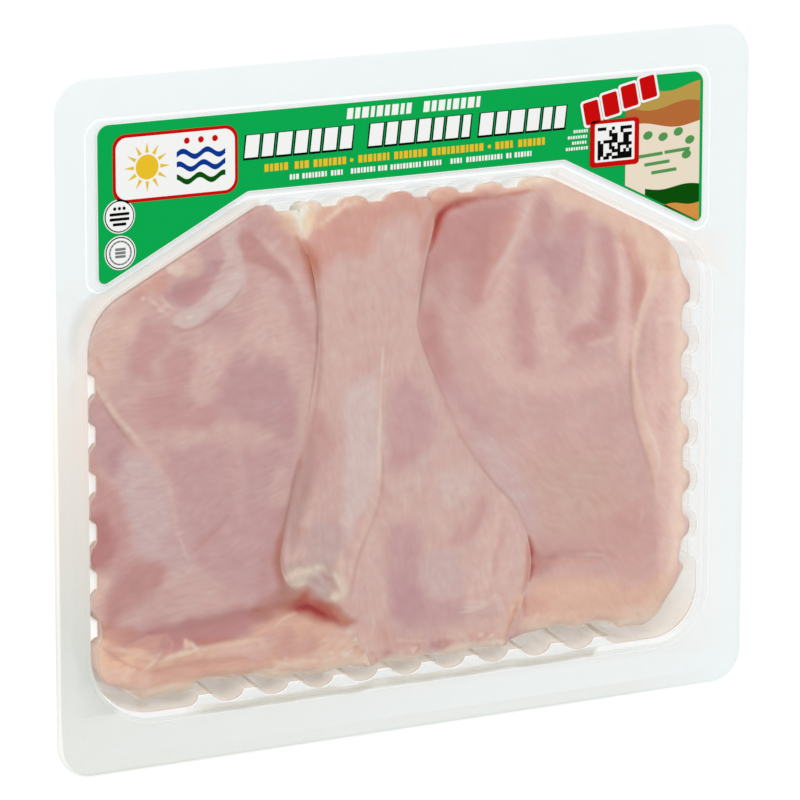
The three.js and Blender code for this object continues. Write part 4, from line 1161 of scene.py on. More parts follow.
# Fields that run across the seam below the knob, on both breasts, as for the patches: the crevice's own red,
# deepened with painted shade
CREVICE = [
    ("clay", 0.8, 2.2, [-66-70j, -59-67.6j, -53.4-64.4j, -49-66.6j, -44.5-68j, -38-72j, -30-77j, -24.6-82j,
     -30-83.4j, -36-80.6j, -42-77.6j, -50-75.4j, -58-75.6j, -66-76j]),
    ("rust", 0.75, 1.8, [-61.4-71.3j, -52.3-71.2j, -47.4-68.8j, -44.6-67.6j, -41.8-69.9j, -37.6-73j,
     -30.6-76.6j, -26.4-81.4j, -29.2-83.4j, -33.4-82.2j, -41.9-78.4j, -49.6-75j, -60-73.2j]),
    ("clay", 0.6, 1.0, [-62-72.2j, -55-71.6j, -48-71.4j, -44-73j, -47.4-74.2j, -54-73.4j]),
    ("red", 0.6, 1.4, [-51-73j, -49-71j, -47.4-69.4j, -45.6-68j, -43.8-68.4j, -42.4-70.2j, -40-71.6j,
     -37-73.4j, -33-77.5j, -31.5-80j, -34-80.6j, -41.9-76.8j, -47.4-74.4j]),
    ("deep", 0.9, 0.8, [-48.6-73.1j, -44.5-72.1j, -40.4-74.1j, -35.4-78j, -36.2-78.8j, -41.9-76j,
     -47.4-74.2j]),
]
# Crumbs of fat and torn flesh, breast by breast: tones, smallest and largest half size, and line
CRUMBS = {
    "left": [
        (["butter", "cream", "fat"], 0.4, 1.1, 26, 1.4, [-62-93.6j, -48-94j, -34-94j, -20-93j]),
        (["butter", "apricot", "coral"], 0.3, 0.8, 22, 1.6, [-126-80j, -114-86j, -98-86j, -76-85j,
         -62-84j]),
        (["butter", "fat", "coral"], 0.4, 1.0, 10, 1.8, [-27-84j, -22-89j, -18-95j]),
        (["fat", "peach"], 0.3, 0.6, 12, 2.0, [-106+47j, -100+42j, -92+38j]),
    ],
    "middle": [
        (["butter", "fat", "knob"], 0.3, 0.8, 8, 1.4, [-52-61.4j, -46-60.6j, -42-60.2j]),
        (["butter", "coral", "wine"], 0.3, 0.9, 26, 1.2, [-16-96j, 0-95.4j, 18-95.6j, 36-94.6j]),
        (["cream", "coral"], 0.3, 0.7, 10, 1.5, [40-84j, 44-90j, 42-95j]),
    ],
    "right": [
        (["butter", "peach"], 0.3, 0.7, 10, 1.6, [48-88j, 56-92j, 66-93j]),
        (["cream", "apricot"], 0.3, 0.8, 12, 1.8, [101+44j, 106+40j, 110+34j]),
    ],
}

# Folds and hollows pressed into the meat, in order: depth, half width and line
PRESSES = {
    "left": [
        (1.3, 4.5, [-96+46j, -86+50j, -80+56j]),
        (0.5, 2.5, [-66+63j, -58+56j, -51+48j]),
        (0.4, 1.2, [-129+17j, -121+5j, -112-7j]),
        (0.5, 1.2, [-89-45.5j, -80-40.5j, -75-36j]),
        (1.3, 3.0, [-108-76j, -94-77j, -78-76j, -64-73j]),
        (0.3, 1.2, [-101-76j, -103-80j, -105-83j]),
        (0.9, 2.0, [-60-71.6j, -50-72.4j, -40-77j, -31-82j]),
        (0.5, 1.2, [-108-90.5j, -88-90j, -68-90.5j]),
        (0.5, 6, [-112-56j, -116-62j]),
        (1.0, 1.2, [-46+58j, -41.5+48j, -40+36j]),
    ],
    "middle": [
        (0.5, 1.4, [-12.6+8j, -13-16j, -14-36j, -20-50j, -25-64j]),
        (1.0, 2.2, [-47-69j, -41-72j, -34-77j, -27-81j]),
        (0.8, 1.2, [-43+56j, -39+46j, -39+34j]),
        (0.5, 4, [-4-56j, -4-74j]),
        (0.7, 1.4, [-48-62j, -42-65j, -37-68j]),
        (0.4, 1.2, [-40-61j, -36-66j, -35-70j]),
    ],
    "right": [
        (0.7, 1.8, [8+60j, 10.6+64.6j, 15+67.6j, 24+69.4j, 34+69.4j]),
        (0.4, 1.6, [34+69.4j, 42+70j, 50+70.2j]),
        (0.5, 3, [55+65j, 52+57j]),
        (0.5, 6, [50+47j, 60+44j, 64+34j]),
        (0.5, 2.5, [81+50j, 82+26j, 72+15j]),
        (0.6, 2, [92+44j, 95+34j, 93+24j]),
        (0.4, 1.2, [91+4j, 92-14j, 98-36j, 102-48j]),
        (0.7, 1.0, [54-68j, 68-69.6j, 80-71.6j]),
        (0.7, 1.8, [48.4-61j, 49-69j, 48-76j]),
        (0.5, 2.5, [45+34j, 46+10j]),
    ],
}


def wave_field(places, size, seed):
    """A soft random field from about -1 to 1, whose swells measure about size."""
    rng = np.random.default_rng(seed)
    field = np.zeros(len(places))
    for _ in range(14):
        direction = cmath.rect(1, rng.uniform(0, 2 * math.pi))
        length = size * rng.uniform(1.2, 3.2)
        phase = rng.uniform(0, 2 * math.pi)
        field += np.sin((places * direction).real * 2 * math.pi / length + phase)
    return field / math.sqrt(14)


# The paint is worked back from the colour that shows, through the lamps' strength and the film
LIGHT_GAIN = np.array((1.16, 1.11, 1.13))
FILM_VEIL = np.array((0.049, 0.053, 0.045))
# How much each breast's paint is darkened: painted shade on the left breast, where less light falls, and a
# touch of painted light on the right
BREAST_LIGHT = {"left": 1.035, "middle": 1.005, "right": 0.99}
EDGE_SOFTNESS = {"left": 1.1, "middle": 1.25, "right": 1.5}
# Ends of a painted line: how long they thin out for, in half widths, how thin they get and how
# strong the paint still is where the line has no width
TAPER = 6
THINNEST = 0.15
FAINTEST = 0.3
BASE_TONES = {"left": "flesh", "middle": "sand", "right": "flesh"}
# Direction of the streaks painted on each breast, as an angle, and how strongly they show
GRAIN = {"left": 0.25, "middle": 1.75, "right": 2.5}
GRAIN_DEPTH = 0.022
# Depth of the flecks and of the mottling, and how far the paint's edges wander
FLECK_DEPTH = 0.014
MOTTLE = 0.15
EDGE_WANDER = 0.6
GRAIN_WANDER = 0.25
SWIRL = 3
SEEDS = {"left": 1, "middle": 2, "right": 3}
# Painted light on the flesh's rolled edges and sides, which lie in shade: where each begins, over what drop
# it comes in, and its strength
SIDE_TONES = [("rim", 27.6, 4, 0.8), ("flank_painted_light", 26, 4, 0.85)]
# Painted glow on the low sides: where it begins and over what drop it comes in
PAINTED_GLOW_START_Z = 26.8
PAINTED_GLOW_DROP = 3
# They fade out again further down, where nothing is seen
SIDE_FOOT_Z = 17
SIDE_FOOT_RISE = 5


def paint_of(tone):
    return np.clip((linear(MEAT_TONES[tone]) - FILM_VEIL) / LIGHT_GAIN, 0.004, 0.9)


def near_box(line, reach, places):
    """Which places lie within reach of the box around a line."""
    return ((places.real > line.real.min() - reach) & (places.real < line.real.max() + reach)
            & (places.imag > line.imag.min() - reach) & (places.imag < line.imag.max() + reach))


def stroke_weight(places, half_width, path):
    """How strongly a line of colour covers each place: it fades outwards and thins at its ends."""
    line = curve(path, max(half_width / 3, 0.6)) if len(path) > 2 else np.array(path)
    near = near_box(line, 2 * half_width, places)
    weight = np.zeros(len(places))
    if not near.any():
        return weight
    chosen = places[near]
    length = np.abs(np.diff(line)).sum()
    taper = min(TAPER * half_width, length / 2)
    nearest = np.full(len(chosen), np.inf)
    width = np.full(len(chosen), half_width)
    run = 0.0
    for a, b in zip(line, line[1:]):
        distance, share = segment_distance(a, b, chosen)
        closer = distance < nearest
        nearest = np.where(closer, distance, nearest)
        along = run + share * abs(b - a)
        to_end = np.minimum(along, length - along) / taper
        share = THINNEST + (1 - THINNEST) * np.sqrt(np.clip(to_end, 0, 1))
        width = np.where(closer, half_width * share, width)
        run += abs(b - a)
    weight[near] = eased(1 - nearest / (2 * width)) * (FAINTEST + (1 - FAINTEST) * width / half_width)
    return weight


def patch_weight(places, soft, outline):
    """How strongly a field of colour covers each place: 1 inside, fading over its soft edge."""
    line = round_curve(outline, max(soft / 2, 0.6))
    near = near_box(line, soft, places)
    weight = np.zeros(len(places))
    if near.any():
        inside = inside_outline(line, places[near])
        distance, _ = outline_distance(line, places[near])
        weight[near] = eased(0.5 + np.where(inside, distance, -distance) / (2 * soft))
    return weight


def meat_colours(name, places, height):
    """Linear paint at every point of a breast, with painted light on its shaded sides, and how much painted
    glow each gets.
    """
    seed = SEEDS[name]
    base = np.tile(paint_of(BASE_TONES[name]), (len(places), 1))
    mottle = MOTTLE * wave_field(places, 9, seed + 1)[:, None]
    base = (base + np.clip(mottle, 0, MOTTLE) * (paint_of("rose") - base)
            + np.clip(-mottle, 0, MOTTLE) * (paint_of("pale") - base))

    def cover(tone, weight):
        base[:] += weight[:, None] * (paint_of(tone) - base)

    swirl = places + SWIRL * wave_field(places, 18, seed + 20)
    swirl += SWIRL * 1j * wave_field(places, 18, seed + 21)
    along = swirl * cmath.rect(1, -GRAIN[name])
    streak = wave_field(along.real / 9 + 1j * along.imag, 1.2, seed + 30)
    warped = places + EDGE_WANDER * wave_field(places, 6, 11) + EDGE_WANDER * 1j * wave_field(places, 6, 12)
    warped += GRAIN_WANDER * streak * cmath.rect(1, GRAIN[name])
    for tone, strength, soft, outline in PATCHES[name]:
        cover(tone, strength * patch_weight(warped, EDGE_SOFTNESS[name] * soft, outline))
    for tone, strength, soft, outline in CREVICE if name != "right" else []:
        cover(tone, strength * patch_weight(warped, soft, outline))
    rng = random.Random(seed)
    for tones, smallest, largest, count, spread, path in CRUMBS[name]:
        line = list(curve(path, 1.0))
        for _ in range(count):
            centre = rng.choice(line) + complex(rng.gauss(0, spread), rng.gauss(0, spread * 0.6))
            size = rng.uniform(smallest, largest)
            crumb = oval(centre, size * rng.uniform(1, 2.4), size, rng.gauss(0, 0.5), 10)
            weight = rng.uniform(0.25, 0.7) * patch_weight(warped, 0.5, crumb)
            cover(rng.choice(tones), weight)
    for tone, strength, half_width, path in STROKES[name]:
        cover(tone, strength * stroke_weight(places, half_width, path))
    fleck = wave_field(swirl, 2.2, seed + 40)[:, None]
    base *= 1 + GRAIN_DEPTH * streak[:, None] * (0.5, 1, 1)
    base *= (1 + FLECK_DEPTH * fleck * (0.4, 1, 0.9)) / BREAST_LIGHT[name]
    upper = np.clip((height - SIDE_FOOT_Z) / SIDE_FOOT_RISE, 0, 1)
    # Painted light on the rolled edges and sides, which lie in shade
    for tone, top, drop, strength in SIDE_TONES:
        cover(tone, np.clip((top - height) / drop, 0, 1) * strength * upper)
    # Painted glow for the low sides, which lie in shade
    painted_glow = np.clip((PAINTED_GLOW_START_Z - height) / PAINTED_GLOW_DROP, 0, 1) * upper
    return np.concatenate([base, painted_glow[:, None]], axis=1)


def make_breast(name, rim, facts):
    step = np.roll(rim, -1) - np.roll(rim, 1)
    inward = 1j * step / np.abs(step)

    def filled(insets, spacing):
        """Points and faces that fill the rim, with each point's distance and facts."""
        inner = []
        for inset in insets:
            moved = rim + inward * inset
            distance, _ = outline_distance(rim, moved)
            inner.append(moved[(distance > 0.9 * inset) & inside_outline(rim, moved)])
        inner.append(hex_grid(rim, spacing, insets[-1] + spacing * 0.6))
        places, faces = triangulated(rim, np.concatenate(inner))
        distance, nearest = outline_distance(rim, places)
        return places, faces, distance, facts[nearest].T

    top, top_faces, distance, (rim_z, rounding, _) = filled(TOP_INSETS, MEAT_GRID)
    run = np.clip(distance / rounding, 0, 1)
    crest = film_height(top) - GAP
    for depth, half_width, path in PRESSES[name]:
        crest -= depth * stroke_weight(top, half_width, path)
    crest -= SWELL * (1 + np.clip(wave_field(top, 12, 7), -1, 1)) * run
    joined = np.exp(-(np.abs(top - SEAM_JOIN) / SEAM_JOIN_REACH) ** 4)
    low_rim = np.minimum(rim_z, crest - SEAM_DEPTH * (1 - 0.9 * joined))
    at_seam = np.clip((rim_z - SEAM_RIM_Z) / SEAM_RIM_RISE, 0, 1)
    roll = np.sqrt(1 - (1 - run) ** 2)
    roll += at_seam * (np.sin(math.pi / 2 * run) - roll)
    top_z = low_rim + (crest - low_rim) * roll

    foot, foot_faces, foot_distance, (rim_z, _, hang) = filled(FOOT_INSETS, FOOT_GRID)
    start = np.where(hang > 0.5, OVERHANG_Z, rim_z)
    under = np.clip(foot_distance / np.maximum(hang, 0.01), 0, 1)
    run = np.clip((foot_distance - hang) / FOOT_RUN, 0, 1)
    foot_z = np.where(under < 1, rim_z + (start - rim_z) * under,
                      start - (start - MEAT_FLOOR_Z) * np.sqrt(1 - (1 - run) ** 2))

    places = np.concatenate([top, foot])
    heights = np.concatenate([top_z, foot_z])
    faces = top_faces + [tuple(i + len(top) for i in reversed(face)) for face in foot_faces]
    on_rim = np.concatenate([distance, foot_distance]) < 0.02
    first = {}
    same = [first.setdefault(spot(place) if on_rim[i] else i, i) for i, place in enumerate(places)]
    kept = sorted(set(same))
    index = {old: new for new, old in enumerate(kept)}
    faces = [tuple(index[same[i]] for i in face) for face in faces]
    points = np.stack([places.real, places.imag, heights], axis=1)[kept]
    piece = add_piece(
        f"breast_{name}_flesh", points, faces, meat_material(name), f"breast_{name}", 60)
    paint_points(piece, meat_colours(name, places[kept], heights[kept]))


# How strongly the low edges of the meat get a painted glow, an emission in place of the light coming through
# thin flesh, which also lifts their shade
EDGE_PAINTED_GLOW = 0.3
# The fine fibres in each breast: how strongly they show, and their direction as an angle
FIBRE_DEPTH = {"left": 0.05, "middle": 0.042, "right": 0.035}
FIBRE_TURN = {"left": -1.32, "middle": 0.18, "right": 0.6}


def meat_material(name):
    """Moist raw flesh: painted colour, fine fibres along the grain, light scattered inside, and a painted
    glow on its low edges.
    """
    shader = Shader(f"meat_{name}")
    depth, turn = FIBRE_DEPTH[name], FIBRE_TURN[name]
    paint = shader.paint()
    fibre = shader.noise(0.8, detail=3, stretch=(1, 14, 1), turn=turn, place=shader.bent_place(30, 16))
    speck = shader.noise(0.5, detail=1, stretch=(1, 3, 1), turn=turn)
    grain = shader.math("MULTIPLY", shader.spread(fibre, 0.3, 0.7, 1 - depth, 1 + depth),
                        shader.spread(speck, 0.3, 0.7, 0.975, 1.025))
    blotch = shader.noise(5, detail=1)
    shades = shader.add("ShaderNodeCombineColor")
    for channels, swing in ((["Red"], 0.015), (["Green", "Blue"], 0.05)):
        share = shader.math("MULTIPLY", shader.spread(blotch, 0.3, 0.7, 1 - swing, 1 + swing), grain)
        for channel in channels:
            shader.link(share, shades.inputs[channel])
    tone = shader.add("ShaderNodeMix", data_type="RGBA", blend_type="MULTIPLY")
    tone.inputs["Factor"].default_value = 1
    shader.link(paint["Color"], tone.inputs["A"])
    shader.link(shades.outputs["Color"], tone.inputs["B"])
    colour = tone.outputs["Result"]
    # Painted glow: the flesh emits its own colour where the paint asks
    painted_glow = shader.spread(paint["Alpha"], 0, 1, 0, EDGE_PAINTED_GLOW)
    shader.feed(Base_Color=colour, Emission_Color=colour, Emission_Strength=painted_glow)
    shader.set(Subsurface_Weight=0.25, Subsurface_Scale=0.002, Subsurface_Radius=(1.0, 0.45, 0.3))
    shader.set(Roughness=0.45, IOR=SOFT_IOR)
    return shader.material


# Juice
JUICE_STRIP = (-94, 78)
# Beige, pale and brown
SMEAR_TONES = (203, 193, 175), (228, 223, 212), (160, 136, 116)
STRIP_TONES = (172, 166, 153), (188, 184, 172), (156, 134, 116)
# The strip along the lower rim: its height, and its offset and cover across its width
STRIP_Z = FLANGE_TOP + 0.26
STRIP_ROWS = [(-1.9, 0), (-1.2, 0.55), (-0.2, 0.8), (0.9, 0.8), (1.6, 0.55), (2.0, 0)]
# The smear down the wall: height, inset, share of the lands' reach and how brown it is
SMEAR_ROWS = [
    (LEDGE_Z - 0.55, LEDGE_INSET + 0.2, 1, 1),
    (LEDGE_Z - 1.0, LEDGE_INSET + 0.25, 1, 1),
    (LEDGE_Z - 1.5, LEDGE_INSET + 0.3, 1, 0),
    (14, 1.9, 1, 0),
    (WALL_FOOT_Z, WALL_FOOT_INSET + 0.2, 1, 0),
    (ROUND_Z, ROUND_INSET + 0.2, 0.8, 0),
    (1.0, 5.7, 0.7, 0),
    (TRAY_FLOOR_Z + 0.1, 7.4, 0.6, 0),
    (TRAY_FLOOR_Z + 0.1, 16, 0.6, 0),
]


def juice_material(name, tones):
    """Thin juice with a faint painted glow: the paint says how much it hides, how pale it is and where its
    brown edge runs.
    """
    shader = Shader(name)
    beige, pale, brown = (linear(tone) for tone in tones)
    parts = shader.parts(shader.paint()["Color"])
    colour = shader.blend(parts["Blue"], shader.blend(parts["Green"], beige, pale), brown)
    cloud = shader.spread(shader.noise(9, detail=2), 0.35, 0.65, 0.75, 1)
    alpha = shader.math("MULTIPLY", cloud, parts["Red"])
    shader.feed(Alpha=alpha, Base_Color=colour, Emission_Color=colour)
    # A faint painted glow, which lifts the shade on the wall
    shader.set(Roughness=0.3, IOR=SOFT_IOR, Emission_Strength=0.14)
    return shader.material


def make_juice():
    """Juice between the lower rim and the film, and a thin smear of it on the lower and right wall."""
    skin = Skin()
    x = np.arange(JUICE_STRIP[0], JUICE_STRIP[1] + 0.5, 1.0)
    sway = 0.3 * wave_field(x + 0j, 9, 51)
    ends = np.clip((x - x[0]) / 14, 0, 1) * np.clip((x[-1] - x) / 2, 0, 1)
    rows, paint = [], []
    for offset, cover in STRIP_ROWS:
        slanted = x + 0.6 * offset * (x > 70)
        rows.append(skin.ring(slanted + 1j * (POCKET_BOTTOM_Y + offset + sway), STRIP_Z))
        paint += [(cover * share, 0.15, 0) for share in ends]
    skin.sheet(rows, range(len(x) - 1))
    juice = juice_material("rim_juice", STRIP_TONES)
    paint_points(add_piece("juice_strip", skin.points, skin.faces, juice), paint)

    skin = Skin()
    loops = [np.array(pocket_loop(inset, LAND_REACH * share, LAND_HALF + 0.2))
             for _, inset, share, _ in SMEAR_ROWS]
    turn = int(np.argmin(loops[0].real - 0.02 * loops[0].imag))
    loops = [np.roll(loop, -turn) for loop in loops]
    x, y = loops[0].real, loops[0].imag
    chosen = np.flatnonzero((y < POCKET_BOTTOM_Y + 16) | ((x > 110) & (y < 52)))
    rows, paint = [], []
    for loop, (z, _, _, brown) in zip(loops, SMEAR_ROWS):
        part = loop[chosen]
        rows.append(skin.ring(part, z))
        pale = eased((part.real - 78) / 36) * eased((part.imag + 112) / 30)
        faded = eased((part.imag - 20) / 30)
        paint += zip(0.7 - 0.34 * pale - 0.2 * faded, pale, np.full(len(part), brown * 0.7))
    skin.sheet(rows, np.flatnonzero(np.diff(chosen) == 1))
    juice = juice_material("wall_juice", SMEAR_TONES)
    paint_points(add_piece("juice_smear", skin.points, skin.faces, juice), paint)


# Label print
PRINT_STEP = 0.06
PRINT_TONES = {
    "green": (0, 173, 92),
    "white": (246, 247, 245),
    "gold": (236, 196, 66),
    "red": (205, 32, 44),
    "blue": (32, 74, 150),
    "black": (36, 34, 34),
    "amber": (186, 116, 74),
    "cream": (238, 226, 205),
    "dark_green": (0, 92, 50),
    "orange": (216, 152, 84),
    "lid": (190, 160, 90),
    "grey": (130, 132, 132),
    "leaf": (96, 158, 96),
}
# Print is worked back from the colour that shows, as the meat's paint is
PRINT_GAIN = 1.26
PRINT_VEIL = 0.035
# Places on the label
PLAQUE = -95.4+93.2j
SUN = -106.5+93.2j
SEALS = [-117.4+76.6j, -117.2+63.6j]
FLASH = 85+101.2j
SQUARE = 82.8+85.6j
PICTURE_RIGHT = 119.2
PICTURE_MARGIN = 1.2
# How much the blocks of the headline and the line above it lean
LEAN = 0.12


def print_material(tone):
    shader = Shader(f"print_{tone}")
    rgb = np.clip((linear(PRINT_TONES[tone]) - PRINT_VEIL) / PRINT_GAIN, 0, 0.8)
    shader.feed(Base_Color=shader.blend(shader.noise(0.8, detail=3), rgb, rgb * 0.93))
    shader.set(Roughness=0.5, IOR=1.12)
    return shader.material


def make_print(name, loops, tone, layer):
    """One flat field of print for each outline, on the layer-th level above the card."""
    skin = Skin()
    bottom = LABEL_TOP_Z + PRINT_STEP * (layer - 1) + 0.01
    top = LABEL_TOP_Z + PRINT_STEP * layer
    for loop in loops:
        low, high = skin.ring(loop, bottom), skin.ring(loop, top)
        skin.band(low, high)
        skin.plate([high], 1)
        skin.plate([low], -1)
    add_piece(f"label_{name}", skin.points, skin.faces, PRINTS[tone])


def round_angles(count):
    return np.linspace(0, 2 * math.pi, count, endpoint=False)


def oval(centre, half_width, half_height, turn=0.0, steps=40):
    ring = [complex(half_width * math.cos(a), half_height * math.sin(a)) for a in round_angles(steps)]
    return [centre + place * cmath.rect(1, turn) for place in ring]


def dots(places, radius):
    return [oval(place, radius, radius) for place in places]


def box_loop(centre, half_width, half_height, radius, turn=0.0):
    corners = [complex(x * half_width, y * half_height) for x, y in ((-1, -1), (1, -1), (1, 1), (-1, 1))]
    loop = rounded_outline(corners, [radius] * 4)
    return [centre + place * cmath.rect(1, turn) for place in loop]


def block_row(words, y, height, widths, gap, slant=0.0, grow=0.0):
    """Plain blocks in place of words: words gives the start and end of each run of blocks."""
    loops = []
    lean = slant * height / 2
    low, high = y - height / 2 - grow, y + height / 2 + grow
    for start, end in words:
        x = start
        k = 0
        while x < end - widths[0] * 0.5:
            width = min(widths[k % len(widths)], end - x)
            left, right = x - grow, x + width + grow
            loops.append([complex(left - lean, low), complex(right - lean, low),
                          complex(right + lean, high), complex(left + lean, high)])
            x += width + gap
            k += 1
    return loops


def label_slant(x, inset):
    """Height of the label's slanted right edge at x, moved inwards."""
    start, end = LABEL_CORNERS[2], LABEL_CORNERS[3]
    slope = (end.imag - start.imag) / (end.real - start.real)
    return start.imag + slope * (x - start.real) + inset * math.hypot(1, slope)


def band_loop(left, top, sway, phase):
    """A field of the picture: a wavy top edge, and the label's slanted edge below."""
    right = PICTURE_RIGHT
    across = np.linspace(left, right, 24)
    turns = (across - left) / (right - left) * 2 * math.pi + phase
    wave = across + 1j * (top + sway * np.sin(turns))
    return [complex(x, label_slant(x, PICTURE_MARGIN)) for x in (left, right)] + list(wave[::-1])


def make_label(card_material):
    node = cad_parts["label"]
    node.data.materials.clear()
    node.data.materials.append(card_material)
    field = rounded_outline(moved_corners(LABEL_CORNERS, [CARD_MARGIN] * 6), CARD_RADII)
    make_print("green_field", [field], "green", 1)

    # Headline, lines of small print and bullets, as plain blocks
    headline = [(-68, -22.5), (-18.5, 22.5), (26.5, 62)]
    wide = [5.3, 4.4, 5.6, 4.9, 3.6, 5.1, 4.7]
    make_print("headline_shade", block_row(headline, 96.7, 8.0, wide, 1.5, LEAN, 0.55), "black", 2)
    make_print("headline", block_row(headline, 97.0, 8.0, wide, 1.5, LEAN), "white", 3)
    second = [(-27.5, -1.5), (3.5, 27)]
    make_print("second_line", block_row(second, 105.4, 3.9, [2.4, 1.9, 2.6, 1.5], 0.9, LEAN), "white", 2)
    gold = [(-60.5, -50.5), (-48.5, -42.5), (-41, -28), (-23, -10.5), (-8.5, 5), (7, 28),
            (33, 40.5), (42.5, 53.5)]
    make_print("gold_line", block_row(gold, 88.7, 2.7, [1.6, 1.2, 1.7, 1.0], 0.55), "gold", 2)
    make_print("bullets", dots([-25.7+88.6j, 30.5+88.6j], 0.7), "gold", 2)
    small = [(-50.5, -46.5), (-45.5, -35), (-34, -29), (-26, -16), (-15, -11), (-10, 2.5), (3.5, 11),
             (14.5, 20), (21, 36.5), (37.5, 40), (41, 48)]
    make_print("small_line", block_row(small, 84.6, 1.9, [0.95, 0.7, 1.05, 0.6], 0.45), "white", 2)

    # Plaque: a sun with rays on its left, red dots above waves on its right
    make_print("plaque_rim", [box_loop(PLAQUE, 24.4, 12.2, 5)], "red", 2)
    make_print("plaque", [box_loop(PLAQUE, 23.2, 11.0, 4.2)], "white", 3)
    rays = [[SUN + cmath.rect(5.2, a - 0.13), SUN + cmath.rect(8.8, a), SUN + cmath.rect(5.2, a + 0.13)]
            for a in round_angles(12)]
    make_print("plaque_sun", [oval(SUN, 4.4, 4.4), *rays], "gold", 4)
    across = np.linspace(-95, -76, 28)
    stripes = []
    for k in range(3):
        crest = across + 1j * (97.4 - 4.4 * k + 1.1 * np.sin((across + 95) * 0.66 + k))
        stripes.append([*(crest - 1.9j), *crest[::-1]])
    make_print("plaque_waves", stripes[:2], "blue", 4)
    make_print("plaque_field", stripes[2:], "dark_green", 4)
    make_print("plaque_dots", dots([-91+101.2j, -85.5+101.2j, -80+101.2j], 1.1), "red", 4)

    # Two round seals
    make_print("seal_rims", dots(SEALS, 6.1), "white", 2)
    make_print("seal_rings", dots(SEALS, 5.7), "black", 3)
    make_print("seal_faces", dots(SEALS, 5.3), "white", 4)
    bars = [box_loop(SEALS[0] + y * 1j, half, 0.5, 0.3) for y, half in ((-2.8, 2.6), (-1, 3.8), (0.8, 3.8))]
    make_print("seal_bars", bars, "black", 5)
    make_print("seal_dots", dots([SEALS[0] + 2.8j + x for x in (-1.8, 0, 1.8)], 0.6), "black", 5)
    ticks = [box_loop(SEALS[1] + 4.1 * cmath.rect(1, a), 0.65, 0.28, 0.1, a + math.pi / 2)
             for a in round_angles(18)]
    ticks += [box_loop(SEALS[1] + y * 1j, 2.0, 0.45, 0.1) for y in (-1.3, 0, 1.3)]
    make_print("seal_ticks", ticks, "grey", 5)

    # Slanted flash
    flash = [FLASH + 8.3 * k * cmath.rect(1, 0.3) for k in (-1.5, -0.5, 0.5, 1.5)]
    make_print("flash_rim", [box_loop(place, 4.2, 5.1, 1.4, 0.2) for place in flash], "white", 5)
    make_print("flash", [box_loop(place, 3.2, 4.2, 0.8, 0.2) for place in flash], "red", 6)

    # Picture of fields
    make_print("picture_sky", [band_loop(87.5, 104.4, 1.6, 1.2)], "lid", 2)
    make_print("picture_hill", [band_loop(87.5, 97.5, 1.4, 2.6)], "amber", 3)
    make_print("picture_field", [band_loop(87.5, 90.5, 1.2, 0.4)], "cream", 4)
    bushes = [97+87j, 103.5+86j, 110+87.4j, 115+84j, 113.6+78.6j]
    make_print("picture_bushes", [oval(place, 2.0, 1.5, 0.3) for place in bushes], "leaf", 5)
    furrows = [98+79.6j, 101+76.4j, 104+73.2j, 109.6+80.4j]
    make_print("picture_rows", [box_loop(place, 5.4, 0.6, 0.3, 0.06) for place in furrows], "leaf", 5)
    make_print("picture_hedge", [band_loop(96, 67.0, 0.7, 2.9)], "dark_green", 5)
    make_print("picture_grain", [band_loop(104, 60.4, 0.5, 0.0)], "orange", 6)

    # Framed square of dark blocks, and four short rows of blocks beside it
    make_print("square_frame", [box_loop(SQUARE, 10.4, 8.7, 1.6)], "red", 6)
    make_print("square", [box_loop(SQUARE + 0.3j, 8.4, 7.1, 0.6)], "white", 7)
    rng = random.Random(4)
    blocks = [box_loop(complex(76.2 + 1.2 * i, 80.2 + 1.2 * j), 0.6, 0.6, 0.02)
              for i in range(12) for j in range(10) if rng.random() < 0.5]
    make_print("square_blocks", blocks, "black", 8)
    notes = []
    for k, start in enumerate((65.6, 63.2, 65, 62.4)):
        notes += block_row([(start, 71.6)], 91 - 2.1 * k, 1.1, [0.8, 0.6], 0.35)
    make_print("notes", notes, "white", 2)


# Stage
CAMERA_PLACE = (-0.9234, 0.4464, 1.7289)
CAMERA_RIGHT = (0.8801, 0.00095, 0.4748)
CAMERA_UP = (0.1064, 0.9742, -0.1992)
CAMERA_BACK = (-0.4627, 0.2258, 0.8573)
FOCAL_PIXELS = 5485
PICTURE_PIXELS = 800
SENSOR = 36
FLOOR_GLOW = 0.96
FLOOR_HALF_SIDE = 4.0
FLOOR_DROP = 0.0005
WORLD_STRENGTH = 0.95
LAMP_PLACE = (-0.4, 1.2, 1.5)
LAMP_SIZE = (1.4, 1.0)
LAMP_WATTS = 18


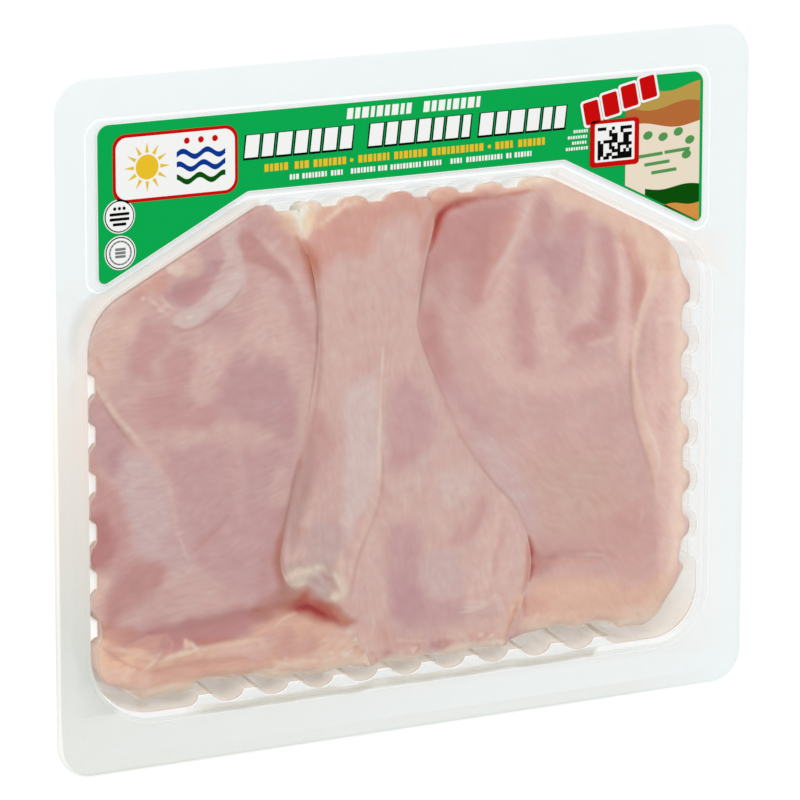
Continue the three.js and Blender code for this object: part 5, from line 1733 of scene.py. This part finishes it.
def add_camera():
    data = bpy.data.cameras.new("camera")
    data.sensor_width = SENSOR
    data.lens = SENSOR * FOCAL_PIXELS / PICTURE_PIXELS
    camera = add_object("camera", data)
    turned = Matrix((CAMERA_RIGHT, CAMERA_UP, CAMERA_BACK)).transposed().to_4x4()
    camera.matrix_world = Matrix.Translation(CAMERA_PLACE) @ turned
    bpy.context.scene.camera = camera


def add_stage():
    """A pale glowing floor, even light from all sides and one soft box."""
    scene = bpy.context.scene
    scene.view_settings.view_transform = "Standard"
    world = bpy.data.worlds.new("studio")
    world.use_nodes = True
    background = world.node_tree.nodes["Background"].inputs
    background["Color"].default_value = (1, 1, 1, 1)
    background["Strength"].default_value = WORLD_STRENGTH
    scene.world = world
    lamp = bpy.data.lights.new("soft_box", "AREA")
    lamp.shape = "RECTANGLE"
    lamp.size, lamp.size_y = LAMP_SIZE
    lamp.energy = LAMP_WATTS
    light = add_object("soft_box", lamp)
    light.location = LAMP_PLACE
    light.rotation_euler = (-light.location).to_track_quat("-Z", "Y").to_euler()
    mesh = bpy.data.meshes.new("floor")
    corners = [(x * FLOOR_HALF_SIDE, y * FLOOR_HALF_SIDE, 0) for x, y in ((-1, -1), (1, -1), (1, 1), (-1, 1))]
    mesh.from_pydata(corners, [], [(0, 1, 2, 3)])
    floor = add_object("floor", mesh)
    floor.location.z = -FLOOR_DROP
    shader = Shader("pale_floor")
    shader.feed(Base_Color=shader.blend(shader.noise(60), (0.07, 0.07, 0.07), (0.08, 0.08, 0.08)))
    shader.set(Roughness=0.9, Emission_Color=(1, 1, 1, 1), Emission_Strength=FLOOR_GLOW)
    mesh.materials.append(shader.material)


PRINTS = {tone: print_material(tone) for tone in PRINT_TONES}
add_camera()
add_stage()
# The tray's plastic carries a painted glow of 0.45
make_tray(clear_plastic(
    "tray_plastic", tint=(204, 213, 213), line_tint=(186, 188, 184), flat=0.62, steep=0.27, edge=0.55,
    roughness=0.3, painted_glow=0.45))
make_juice()
make_film(clear_plastic(
    "film_plastic", tint=(240, 242, 242), line_tint=(225, 228, 228), flat=0.012, steep=0.025, edge=0.2,
    roughness=0.15))
make_label(print_material("white"))
for breast, (outline, facts) in breast_outlines().items():
    make_breast(breast, outline, facts)


bpy.context.view_layer.update()
